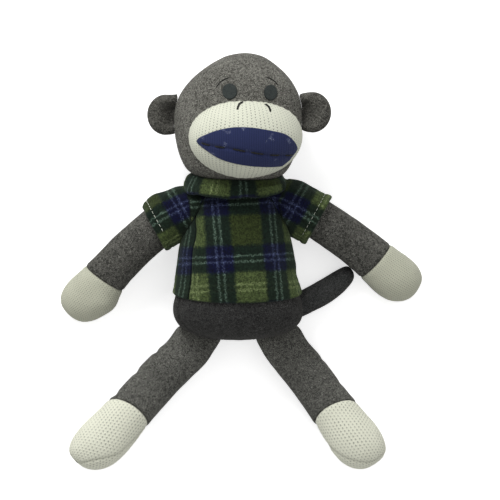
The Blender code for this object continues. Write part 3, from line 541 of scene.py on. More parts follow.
def girth_map(points, zero, turn_in=1.0):
    """Across and along in metres over a wrapped grid: across runs round from a column, along runs down it."""
    closed = np.concatenate([points, points[:, :1]], 1)
    width = np.linalg.norm(np.diff(closed, axis=1), axis=-1).sum(1)
    share = (np.arange(closed.shape[1]) - zero) / points.shape[1]
    widest = width.max()
    size = widest * turn_in + width * (1 - turn_in)
    across = share[None, :] * size[:, None]
    along = lengths(points, 0).mean(1)[:, None] + np.zeros_like(across)
    return np.stack([across, along], -1)


def linked(name, data):
    """A new object in the scene."""
    obj = bpy.data.objects.new(name, data)
    bpy.context.scene.collection.objects.link(obj)
    return obj


@contextmanager
def editing(mesh):
    """A bmesh whose changes go back to the mesh."""
    bm = bmesh.new()
    bm.from_mesh(mesh)
    yield bm
    bm.to_mesh(mesh)
    bm.free()


def corners(flat, i, j):
    """A flat map's values at each face's corners."""
    return np.stack([flat[i, j], flat[i, j + 1], flat[i + 1, j + 1], flat[i + 1, j]], 2)


def grid_object(name, points, flat, material, wrap=True, painted_shade=0.0, closed=True, other=None, where=None):
    """A mesh object from a grid of points, with its flat map and its painted shade values for seams, rims and
    hollows.

    Where a face lies on the far side of a seam, it takes the other flat map.
    """
    rows, columns = points.shape[:2]
    index = np.arange(rows * columns).reshape(rows, columns)
    i, j = np.meshgrid(np.arange(rows - 1), np.arange(columns if wrap else columns - 1), indexing="ij")
    k = (j + 1) % columns
    faces = np.stack([index[i, j], index[i, k], index[i + 1, k], index[i + 1, j]], -1).reshape(-1, 4)
    mesh = bpy.data.meshes.new(name)
    mesh.from_pydata(points.reshape(-1, 3).tolist(), [], faces.tolist())
    layer = mesh.uv_layers.new(name="UVMap")
    spots = corners(flat, i, j)
    if other is not None:
        spots = np.where(where[:-1][..., None, None], corners(other, i, j), spots)
    layer.data.foreach_set("uv", spots.astype(np.float32).ravel())
    # Painted shade per point, which the materials darken by
    dark = mesh.attributes.new("painted_shade", "FLOAT", "POINT")
    dark.data.foreach_set("value", np.ascontiguousarray(painted_shade + np.zeros((rows, columns)), np.float32).ravel())
    if closed:
        with editing(mesh) as bm:
            bmesh.ops.remove_doubles(bm, verts=bm.verts, dist=2e-7)
    mesh.shade_smooth()
    mesh.materials.append(material)
    return linked(name, mesh)


def thicken(obj, thickness):
    """Give a cloth surface its thickness, inwards, in its mesh."""
    modifier = obj.modifiers.new("Cloth", "SOLIDIFY")
    modifier.thickness = thickness
    modifier.offset = -1.0
    bpy.context.view_layer.update()
    graph = bpy.context.evaluated_depsgraph_get()
    mesh = bpy.data.meshes.new_from_object(obj.evaluated_get(graph))
    obj.modifiers.clear()
    obj.data = mesh
    mesh.shade_smooth()


def tree_from(points):
    """A search tree over a grid of points that closes round."""
    rows, columns = points.shape[:2]
    faces = [(i * columns + j, i * columns + k, (i + 1) * columns + k, (i + 1) * columns + j)
             for i in range(rows - 1) for j, k in zip(range(columns), [*range(1, columns), 0])]
    return BVHTree.FromPolygons(points.reshape(-1, 3).tolist(), faces)


def heights(tree, points):
    """How far each point stands off a closed surface, negative inside it, with the foot and the direction."""
    flat = points.reshape(-1, 3)
    off, feet, ways = np.empty(len(flat)), np.empty_like(flat), np.empty_like(flat)
    for n, point in enumerate(flat):
        foot, way, _, _ = tree.find_nearest(Vector(point))
        off[n] = (Vector(point) - foot).dot(way)
        feet[n], ways[n] = foot, way
    shape = points.shape
    return off.reshape(shape[:-1]), feet.reshape(shape), ways.reshape(shape)


def push_out(points, tree, distance):
    """Move points that lie in a surface, or nearer than a distance, to that distance outside it."""
    off, feet, ways = heights(tree, points)
    near = (off < distance)[..., None]
    return np.where(near, feet + ways * distance, points)


def clear_ball(points, centre, radius):
    """Move points out of a ball."""
    away = points - np.array(centre)
    size = np.linalg.norm(away, axis=-1, keepdims=True)
    return np.where(size < radius, np.array(centre) + away * radius / np.maximum(size, 1e-9), points)


def above_floor(points, rise=0.00005):
    """Press points that would sink under the doll onto the level it lies on."""
    points = points.copy()
    points[..., 2] = np.maximum(points[..., 2], rise)
    return points


def sampled(path, run, at):
    """A path's values at some lengths along it."""
    return np.stack([np.interp(at, run, path[:, n]) for n in range(path.shape[1])], -1)


def evenly(path, count, endpoint=True):
    """Points at equal steps along a dense path."""
    run = lengths(path, 0)
    return sampled(path, run, np.linspace(0, run[-1], count, endpoint=endpoint))


def through(points):
    """A dense smooth curve from the second of some points to the last but one."""
    path = []
    for a, b, c, d in zip(points, points[1:], points[2:], points[3:]):
        for t in np.arange(0, 1, 0.02):
            bend, turn = 2 * a - 5 * b + 4 * c - d, 3 * b - a - 3 * c + d
            path.append((2 * b + (c - a) * t + bend * t * t + turn * t ** 3) / 2)
    return np.array([*path, points[-2]])


def smooth_path(points, count):
    """Points at equal steps along a smooth curve through some chosen ones."""
    points = np.array(points, float)
    ends = np.concatenate([[2 * points[0] - points[1]], points, [2 * points[-1] - points[-2]]])
    return evenly(through(ends), count)


def smooth_loop(points, count):
    """Points at equal steps along a smooth closed curve."""
    points = np.array(points, float)
    return evenly(through(np.concatenate([points[-1:], points, points[:2]])), count, endpoint=False)


def drop(trees, flat):
    """Points straight below some places on the highest of some surfaces, and the directions there."""
    feet, ways = [], []
    for x, y in flat.reshape(-1, 2):
        for step in (0.0, 7e-6, -9e-6, 2e-5):
            found = [tree.ray_cast(Vector((x + step, y + step, 0.3)), Vector((0, 0, -1))) for tree in trees]
            found = [(hit[0], hit[1]) for hit in found if hit[0] is not None]
            if found:
                break
        foot, way = max(found, key=lambda hit: hit[0].z)
        feet.append(foot)
        ways.append(way)
    shape = flat.shape[:-1] + (3,)
    return np.array(feet).reshape(shape), np.array(ways).reshape(shape)


def thread_grid(path, radius, ups, sides):
    """The grid of a twisted two-ply thread along a path, rounded at its ends."""
    along = np.gradient(path, axis=0)
    along /= np.linalg.norm(along, axis=1, keepdims=True)
    aside = np.cross(along, ups)
    aside /= np.linalg.norm(aside, axis=1, keepdims=True)
    ups = np.cross(aside, along)
    run = lengths(path, 0)
    angle = turns(sides)
    twist = 1 + 0.16 * np.cos(2 * (angle - pi * run[:, None] / THREAD_PITCH))
    ends = np.sqrt(np.clip(1 - (1 - np.minimum(run, run[-1] - run) / radius).clip(0, 1) ** 2, 0, 1))
    size = radius * twist * ends[:, None]
    points = path[:, None] + aside[:, None] * (size * np.cos(angle))[..., None]
    points = points + ups[:, None] * (size * np.sin(angle))[..., None]
    flat = np.stack(np.broadcast_arrays(np.linspace(0, 2 * pi, sides + 1)[None, :], run[:, None]), -1)
    return points, flat


def threads(name, paths, radius, material, sides=10):
    """One object of several short threads. Each path is its points and the directions away from the cloth."""
    mesh = bpy.data.meshes.new(name)
    bm = bmesh.new()
    for number, (path, ups) in enumerate(paths):
        points, flat = thread_grid(path, radius, ups, sides)
        obj = grid_object(f"{name}_{number}", points, flat, material)
        bm.from_mesh(obj.data)
        bpy.data.objects.remove(obj)
    bm.to_mesh(mesh)
    bm.free()
    mesh.shade_smooth()
    mesh.materials.append(material)
    return linked(name, mesh)


def dress(obj, body, nodes):
    """Put a piece in the place of its solids. It rides on its body, if it is given one."""
    if body:
        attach(obj, body)
    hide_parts(*nodes)


def stuffed(obj, body, nodes):
    """Put a stuffed piece in the place of its solids."""
    dress(obj, body, nodes)


# One fleece at six brightnesses: each copy is painted lighter or darker for the light or shade on its part, the
# head and legs lit, the body and tail in shade
HEAD_FLEECE_LIT = fleece("head_fleece_lit", srgb(168, 167, 158), srgb(58, 57, 53), 520.0)
LIMB_FLEECE = fleece("limb_fleece", srgb(142, 141, 134), srgb(44, 44, 41), 500.0)
LEG_FLEECE_LIT = fleece("leg_fleece_lit", srgb(160, 160, 152), srgb(57, 57, 54), 600.0)
BODY_FLEECE_SHADED = fleece("body_fleece_shaded", srgb(88, 88, 87), srgb(28, 28, 28), 580.0)
TAIL_FLEECE_SHADED = fleece("tail_fleece_shaded", srgb(98, 99, 98), srgb(42, 43, 43), 600.0)
EAR_FLEECE = fleece("ear_fleece", srgb(138, 137, 129), srgb(50, 49, 46), 500.0)
MUZZLE_KNIT = knit("muzzle_knit", srgb(215, 217, 200), srgb(162, 164, 144), 0.0033, 0.0026, 0.05, 0.85, 0.03)
HAND_KNIT = knit("hand_knit", srgb(196, 197, 178), srgb(112, 113, 96), 0.0019, 0.0017, 0.02, 0.95, 0.03)
FOOT_KNIT = knit("foot_knit", srgb(234, 235, 217), srgb(178, 179, 158), 0.0026, 0.0026, 0.05, 0.90, 0.22)
LIP_KNIT = knit("lip_knit", srgb(42, 50, 88), srgb(20, 25, 54), 0.0018, 0.0015, 0.0, 0.3, 0.5, 0.06)
EYE_FELT = felt("eye_felt", srgb(66, 72, 70), srgb(34, 37, 37))
BLACK_YARN = yarn("black_thread", srgb(34, 34, 32), srgb(8, 8, 8))
WHITE_YARN = yarn("white_thread", srgb(236, 240, 226), srgb(170, 176, 160))
PLAID = plaid("plaid_flannel")


def make_torso():
    """The torso with its side seams, its gathered bottom and the hollow for the neck."""
    rows = ring_rows(TORSO_RINGS, TORSO)
    place = placed((0, TORSO_BOTTOM, TORSO_LEVEL), pi / 2)
    t, phi = levels(-0.5, 8.5, 150), turns(190)
    base = form(rows, place, t, phi)
    width = spline(rows, t)[..., 4]
    painted_shade = 0.0
    lift = 0.0005 * lumps(base, 0.022, 1) + 0.0002 * lumps(base, 0.008, 2)
    for seam in (radians(24.0), radians(206.0)):
        off = round_off(phi, seam) * width
        lift = lift - 0.0007 * bell(off, 0.0009) - 0.00018 * bell(off, 0.004) * np.cos(t * 42)
        # Painted shade in each side seam's groove
        painted_shade = np.maximum(painted_shade, 0.55 * bell(off, 0.0006))
    points = clear_ball(raised(base, lift), NECK_POINT, NECK_RADIUS + 0.0003)
    obj = grid_object("torso_cover", above_floor(points), girth_map(points, 47), BODY_FLEECE_SHADED, painted_shade=painted_shade)
    stuffed(obj, "torso", ("torso_skin", "torso_stuffing"))
    return rows, place


def make_neck():
    """The stuffed neck under the head."""
    unit = ball(levels(0, pi, 40), turns(60))[..., [0, 2, 1]] * np.array((1, -1, 1))
    points = np.array(NECK_POINT) + unit * (NECK_RADIUS - 0.0001 - 0.0002 * np.abs(lumps(unit, 0.4, 3)))[..., None]
    points = points[:, ::-1]
    stuffed(grid_object("neck_cover", points, girth_map(points, 0), BODY_FLEECE_SHADED), "neck", ("neck",))


def make_head():
    """The round head, dimpled where the eyes pull it in."""
    rows = ring_rows(HEAD_RINGS, HEAD, lift=HEAD_LIFT)
    rows[:, 0] += HEAD_START
    place = placed(NECK_POINT, pi / 2 + HEAD_ROLL)
    base = form(rows, place, levels(-0.5, 8.5, 170), turns(220))
    lift = 0.0006 * lumps(base, 0.030, 4) + 0.0002 * lumps(base, 0.010, 5)
    front = base[..., 2] > HEAD_LIFT + 0.05
    for x, y, _, _ in EYES.values():
        off = np.hypot(base[..., 0] - x * MM, base[..., 1] - y * MM)
        lift = lift - 0.0006 * bell(off, 0.009) * front
    points = clear_ball(raised(base, lift), NECK_POINT, NECK_RADIUS + 0.0004)
    obj = grid_object("head_cover", above_floor(points), girth_map(points, 55), HEAD_FLEECE_LIT)
    stuffed(obj, "head", ("head_skin", "head_stuffing"))
    return tree_from(points)


def make_muzzle(head_tree):
    """The knit muzzle, gathered a little where it is sewn to the head."""
    place = placed(MUZZLE_POINT, 0.0, FACE_YAW) @ Matrix.Rotation(FACE_PITCH, 4, "X")
    theta, phi = levels(0, pi, 150), turns(240)
    base = moved(ball(theta, phi) * MUZZLE_HALVES, place)
    off = heights(head_tree, base)[0]
    lift = 0.0003 * lumps(base, 0.020, 6) - 0.0005 * bell(off, 0.0016)
    lift = lift + 0.00022 * bell(off, 0.0035) * np.cos(46 * phi + 3 * np.sin(5 * phi))
    points = raised(base, -lift)
    off, feet, ways = heights(head_tree, points)
    points = np.where((off < -0.0012)[..., None], feet - ways * 0.0012, points)
    # Painted shade where the muzzle meets the head
    painted_shade = 0.5 * bell(off, 0.0009)
    wide = np.linspace(0, 2 * pi, 241)[None, :]
    flat = np.stack([0.040 * theta * np.cos(wide), 0.034 * theta * np.sin(wide)], -1)
    obj = grid_object("muzzle_cover", points[::-1], flat[::-1], MUZZLE_KNIT, painted_shade=painted_shade[::-1])
    stuffed(obj, "head", ("muzzle_skin", "muzzle_stuffing"))
    return tree_from(points[::-1])


def on_muzzle(flat):
    """Draw in places that lie on or past the muzzle's rim."""
    centre, halves = np.array(MUZZLE_POINT)[:2], np.array(MUZZLE_HALVES)[:2]
    share = np.linalg.norm((flat - centre) / halves, axis=-1, keepdims=True)
    return centre + (flat - centre) * np.minimum(1, 0.95 / share)


def path_distance(flat, path):
    """Distance of places from a seam or mouth line, and how far along it each is."""
    gaps = np.linalg.norm(flat[..., None, :] - path, axis=-1)
    return gaps.min(-1), np.argmin(gaps, -1) / (len(path) - 1)


def make_patch(name, outline, trees, count, rise, rim, material, shape=None):
    """A thin cloth patch laid on a surface inside an outline."""
    centre = outline.mean(0)
    reach = np.linalg.norm(outline - centre, axis=1).mean()
    share = (1 - (1 - np.linspace(0, 1, count)) ** 1.6)[::-1]
    flat = centre + (outline[None] - centre) * share[:, None, None]
    feet, ways = drop(trees, flat)
    inside = (1 - share)[:, None] * reach + np.zeros(flat.shape[:2])
    height = rise * np.sqrt(1 - (1 - np.clip(inside / rim, 0, 1)) ** 2)
    # Painted shade round the patch's rim
    painted_shade = 0.6 * bell(inside, 0.0004)
    if shape is not None:
        deeper, darker = shape(flat)
        height = np.maximum(height + deeper, 0.00012)
        painted_shade = np.maximum(painted_shade, darker)
    top = feet + ways * (0.00008 + height)[..., None]
    under = feet + ways * 0.00004
    points = np.concatenate([under[::-1], top[1:]])
    both = np.concatenate([flat[::-1], flat[1:]])
    both = np.concatenate([both, both[:, :1]], 1)
    return grid_object(name, points, both, material, painted_shade=np.concatenate([painted_shade[::-1], painted_shade[1:]]))


def sunk(feet, ways, height, depth, power):
    """A stitch's path over a cloth, sunk into it at both ends, and the directions away from the cloth."""
    sink = depth * np.abs(np.linspace(-1, 1, len(feet))) ** power
    return feet + ways * (height - sink)[:, None], ways


def make_face(head_tree, muzzle_tree):
    """Lips, mouth stitches, nostrils, eyes and brows."""
    trees = [muzzle_tree, head_tree]
    outline = on_muzzle(smooth_loop(np.array(LIPS) * MM, 220)[::-1])
    path = on_muzzle(smooth_path(np.array(MOUTH) * MM, 260))

    def sewn_in(flat):
        off, along = path_distance(flat, path)
        inside = ramp(along, 0.0, 0.06) * (1 - ramp(along, 0.94, 1.0))
        pucker = 0.00016 * bell(off, 0.0042) * np.cos(along * 150)
        # The second value is painted shade along the mouth's sunk line
        return pucker - 0.0008 * bell(off, 0.0013) * inside, 0.45 * bell(off, 0.0007) * inside

    lips = make_patch("lips_cover", outline, trees, 46, 0.0011, 0.0016, LIP_KNIT, sewn_in)
    dress(lips, "head", ("lips",))
    x, y = outline.T
    lip_tree = BVHTree.FromObject(lips, bpy.context.evaluated_depsgraph_get())
    stitches = []
    for start, end in MOUTH_DASHES:
        feet, ways = drop([lip_tree], path[int(start * 259):int(end * 259) + 1])
        stitches.append(sunk(feet, ways.mean(0) + 0 * ways, 0.00045, 0.0009, 4))
    dress(threads("mouth_stitches", stitches, 0.0006, BLACK_YARN), "head", ("mouth_thread",))
    for side in SIDES:
        x, y, wide, tall = EYES[side]
        angle = -turns(90)[0]
        ring = np.stack([x + wide * np.cos(angle), y + tall * np.sin(angle)], -1) * MM
        eye = make_patch("eye_cover_" + side, ring, [head_tree], 18, 0.0010, 0.0007, EYE_FELT)
        dress(eye, "head", ("eye_" + side,))
        for kind, spots, size in (("brow", BROWS[side], 0.00046), ("nostril", NOSTRILS[side], 0.00080)):
            feet, ways = drop(trees, smooth_path(np.array(spots) * MM, 60))
            laid = sunk(feet, ways, size * 0.5, size * 1.7, 6)
            stitch = threads(f"{kind}_stitch_{side}", [laid], size, BLACK_YARN)
            dress(stitch, "head", (f"{kind}_{side}",))


def make_ear(side, head_tree):
    """One ear: a padded rim round a cup, drawn together where it is sewn to the head."""
    sign = SIDES[side]["sign"]
    width, height, thickness = EAR
    rows = np.array([(along * thickness, 0.0, 0.0, across * height / 2, across * width / 2, 0.0)
                     for along, across, _ in EAR_RINGS])
    t = levels(-0.5, 8.5, 110)
    base = form(rows, Matrix.Identity(4), t, turns(120))
    shift = np.interp(t, np.arange(9), [ring[2] for ring in EAR_RINGS])
    # Local: 0 is out of the doll's front, 1 up its height, 2 away from the head
    depth, up, outward = base[..., 0], base[..., 1], base[..., 2] - shift * width + EAR_OFFSETS[side]
    bent = np.where(outward < 0, -EAR_DEPTH * (1 - np.exp(outward / EAR_DEPTH)), outward)
    pinch = ramp(outward, -0.008, 0.008)
    near = np.clip((EAR_OFFSETS[side] - outward) / (width / 2), 0.0, 0.9)
    fuller = np.where(up > 0, *EAR_FILLS[side]) * np.minimum(1 / np.sqrt(1 - near ** 2) - 1, 0.5)
    up = up * (0.97 + 0.03 * pinch + fuller) + EAR_RISES[side]
    folds = 0.0008 * (1 - ramp(outward, 0.0, 0.012)) * np.cos(up / 0.0020) * (depth > 0)
    depth = depth * (0.55 + 0.45 * pinch) + folds + 0.0006 * lumps(base, 0.009, 8 + sign)
    points = np.array(EAR_ROOTS[side]) + np.stack([sign * bent, up, depth], -1)
    points = push_out(points, head_tree, 0.0002)
    if sign < 0:
        points = points[:, ::-1]
    # Painted shade, deepening towards the middle of the ear's cup
    inside = np.interp(t, [0, 5.4, 6.6, 8.5], [0, 0, 0.30, 0.60])
    obj = grid_object("ear_cover_" + side, points, girth_map(points, 0), EAR_FLEECE, painted_shade=inside)
    stuffed(obj, "ear_" + side, ("ear_back_" + side, "ear_front_" + side))


def limb_pieces(names, rows, place, seam_at, counts, seed, materials, gathers, shape):
    """A limb in two pieces that meet at a seam. seam_at gives the seam's t for each column."""
    phi = turns(counts[2])
    made = []
    for number, name in enumerate(names):
        upper = number == 0
        first, last = (-0.5, seam_at) if upper else (seam_at, len(rows) - 0.5)
        t = first + (last - first) * levels(0, 1, counts[number])
        base = form(rows, place, t, phi)
        run = lengths(base, 0)
        off = run[-1] - run if upper else run
        more, darker = shape(upper, t, phi, base, off)
        lift = 0.0004 * lumps(base, 0.018, seed + number) + 0.00016 * lumps(base, 0.007, seed + 3)
        lift = lift + 0.00016 * bell(off, 0.005) * np.cos(gathers * phi + np.sin(3 * phi))
        lift = lift - 0.0008 * bell(off, 0.0011) + more
        # Painted shade along the seam where the two pieces meet, deeper on the upper piece, with the shape's own
        # painted shade
        painted_shade = np.maximum((0.75 if upper else 0.35) * bell(off, 0.0006), darker)
        points = above_floor(raised(base, lift))
        flat = girth_map(points, counts[2] // 4, 0.75)
        if not upper:
            flat[..., 1] = off.mean(1)[:, None]
        # Close the seam's end with three smaller rings
        end = -1 if upper else 0
        middle = points[end].mean(0)
        caps = np.array([middle + (points[end] - middle) * share for share in (0.93, 0.5, 0.0)])
        parts = [(points, caps), (flat, flat[[end] * 3]), (painted_shade, painted_shade[[end] * 3])]
        if not upper:
            parts = [(added[::-1], grid) for grid, added in parts]
        points, flat, painted_shade = (np.concatenate(part) for part in parts)
        made.append(grid_object(name, points, flat, materials[number], painted_shade=painted_shade))
    return made


def make_arm(side):
    """One arm with its knit hand."""
    sign = SIDES[side]["sign"]
    turn = -SIDES[side]["arm"] if sign > 0 else pi + SIDES[side]["arm"]
    rows = ring_rows(ARM_RINGS, ARM, sign)
    slant = (1, -sign * WRIST_SLANTS[side], 0)
    seam = plane_t(rows, Matrix.Identity(4), turns(120), (WRIST, 0, 0), slant, 2, 8.4)

    def palm(upper, t, phi, base, off):
        if upper:
            return 0.0, 0.0
        return PALM_FILLS[side] * ramp(-sign * np.cos(phi), 0.0, 0.9) * bell(off - 0.015, 0.010), 0.0

    names = ("arm_cover_" + side, "hand_cover_" + side)
    arm, hand = limb_pieces(names, rows, placed(PIVOTS[side], turn, ARM_DIP), seam, (110, 70, 120), 11 + sign,
                            (LIMB_FLEECE, HAND_KNIT), 26, palm)
    stuffed(arm, "arm_" + side, ("arm_skin_" + side, "arm_stuffing_" + side))
    stuffed(hand, "arm_" + side, ("hand_" + side,))


def make_leg(side):
    """One leg with its knit foot, flattened where it is sewn under the torso."""
    sign = SIDES[side]["sign"]
    hinge = HINGES[side]
    place = placed(hinge, -pi / 2 + sign * SIDES[side]["leg"])
    length, width, depth = LEG
    size = (length * SIDES[side]["toe_share"], width, depth)
    rows = ring_rows(LEG_RINGS, size, sign * SIDES[side]["toe_turn"], sign * (HIP_SLANT - SIDES[side]["leg"]))
    rows[:, 2] += (1 - np.array([ring[5] for ring in LEG_RINGS])) * (depth / 2 - FLOOR_REST - hinge[2])
    rows[:2, 0] -= LEG_REACH
    ankle = (ANKLE_SHARE * size[0] + ANKLE_SHIFT, 0, depth / 2 - hinge[2])
    tilt = (cos(ANKLE_LEAN), -sign * ANKLE_SLANT, -sin(ANKLE_LEAN))
    seam = plane_t(rows, Matrix.Identity(4), turns(130), ankle, tilt, 3, 9)
    toe_seam = smooth_path(np.array(SOLE_SEAMS[side]) * MM, 120)

    def sole(upper, t, phi, base, off):
        if upper:
            down = spline(rows, t)[..., 0]
            first, deep = LEG_TUCKS[side]
            near = np.mod(down - first + TUCK_EVERY / 2, TUCK_EVERY) - TUCK_EVERY / 2
            tuck = bell(near, 0.0030) * ramp(down, 0.012, 0.020) * ramp(sign * np.cos(phi), 0.1, 0.9)
            return -0.0004 * ramp(-down, -0.030, 0.0) * bell(np.sin(phi * 9), 0.6) - deep * tuck, 0.0
        gap, along = path_distance(base[..., :2], toe_seam)
        on = np.sin(phi) > -0.25
        lift = 0.00012 * bell(gap, 0.0035) * np.cos(along * 110) - 0.0009 * bell(gap, 0.0009)
        # The second value is painted shade along the toe seam
        return on * lift, 0.45 * on * bell(gap, 0.0007)

    names = ("leg_cover_" + side, "foot_cover_" + side)
    leg, foot = limb_pieces(names, rows, place, seam, (110, 90, 130), 21 + sign, (LEG_FLEECE_LIT, FOOT_KNIT), 22, sole)
    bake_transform(leg)
    stuffed(leg, None, ("leg_skin_" + side, "leg_stuffing_" + side))
    stuffed(foot, "leg_" + side, ("foot_" + side,))


def make_tail():
    """The thin stuffed tail."""
    rows = ring_rows(TAIL_RINGS, TAIL, -1)
    phi = turns(70)
    base = form(rows, placed(TAIL_ROOT, TAIL_ANGLE), levels(-0.5, 7.5, 110), phi)
    off = round_off(phi, radians(200.0)) * TAIL[1] / 2
    lift = 0.0003 * lumps(base, 0.010, 30) - 0.0005 * bell(off, 0.0006)
    points = above_floor(raised(base, lift))
    # Painted shade along the tail's seam
    obj = grid_object("tail_cover", points, girth_map(points, 17), TAIL_FLEECE_SHADED, painted_shade=0.5 * bell(off, 0.0005))
    stuffed(obj, "tail", ("tail_skin", "tail_stuffing"))


def plane_t(rows, place, phi, point, way, low, high):
    """For each column, the t at which a form crosses a plane."""
    t = np.linspace(low, high, 500)[:, None]
    past = (form(rows, place, t, phi) - np.array(point)) @ np.array(way)
    return np.array([np.interp(0.0, past[:, n], t[:, 0]) for n in range(phi.shape[1])])[None, :]


def edge_roll(distance, depth, reach):
    """How far a cloth's edge turns in over its last millimetres."""
    share = np.clip(1 - distance / reach, 0, 1)
    return depth * (1 - np.sqrt(1 - share ** 2))


def front_map(across, x, y):
    """The plaid's place on the pullover's front, whose cloth is pulled a little aslant."""
    return np.stack([across + PLAID_LEAN * (y - PLAID_LEVEL), y - PLAID_DROP * x], -1) - BODY_ZERO


def make_pullover(rows, place):
    """The pullover's front and back, sewn at the sides, and the surface that the sleeves and collar lie on."""
    hem_point = (0, TORSO_BOTTOM + HEM_SHARE * TORSO[0], TORSO_LEVEL)
    hem_way = (0, cos(HEM_TILT), sin(HEM_TILT))
    share = levels(0, 1, 150)
    left = radians(15.0) + radians(26.0) * (1 - ramp(share, 0.5, 0.95))
    right = radians(213.0) + 0 * share
    for name, start, end in (("front", left, right), ("back", right, left + 2 * pi)):
        phi = start + (end - start) * levels(0, 1, 170).T
        low = plane_t(rows, place, phi[[0]], hem_point, hem_way, 1, 5)
        high = plane_t(rows, place, phi[[-1]], (0, NECKLINE, 0), (0, 1, 0), 5, 8.3)
        base = form(rows, place, low + (high - low) * share, phi)
        hem_off, aside = lengths(base, 0), lengths(base, 1)
        side_off = np.minimum(aside, aside[:, -1:] - aside)
        x, y = base[..., 0], base[..., 1]
        lift = SHIRT_OUT + 0.0010 * lumps(base, 0.020, 40) + 0.0004 * lumps(base, 0.009, 41)
        for fold_x, fold_y, turn, span, size in FOLDS if name == "front" else ():
            dx, dy = x - fold_x * MM, y - fold_y * MM
            along, off = dx * cos(turn) + dy * sin(turn), dy * cos(turn) - dx * sin(turn)
            lift = lift + size * bell(off, 0.0034) * bell(along, span * MM)
        lift = lift - 0.00024 * bell(hem_off - 0.009, 0.0012)
        lift = lift - edge_roll(hem_off, 0.0012, 0.0014) - edge_roll(side_off, 0.0014, 0.0013)
        points = above_floor(raised(base, lift, wrap=False))
        middle = np.argmin(np.abs(x), axis=1)[:, None]
        across = aside - np.take_along_axis(aside, middle, 1) + np.take_along_axis(x, middle, 1)
        flat = front_map(across, x, y)
        if name == "back":
            flat[..., 0] = aside[:, -1:] - aside - BACK_STRIPE
        # Painted shade along the side seams and the hem
        painted_shade = np.maximum(0.8 * bell(side_off, 0.0007), 0.4 * bell(hem_off, 0.0005))
        obj = grid_object("pullover_" + name, points, flat, PLAID, wrap=False, painted_shade=painted_shade, closed=False)
        with editing(obj.data) as bm:
            holes = [Vector(spot) for spot in PIVOTS.values()]
            gone = [face for face in bm.faces
                    if any((face.calc_center_median() - hole).length < ARMHOLE_REACH for hole in holes)]
            bmesh.ops.delete(bm, geom=gone, context="FACES")
        thicken(obj, 0.0014)
        dress(obj, "torso", ("shirt_" + name,))
    body = form(rows, place, levels(-0.5, 8.5, 110), turns(150))
    return tree_from(raised(body, SHIRT_OUT + 0.0002 + 0 * body[..., 0]))


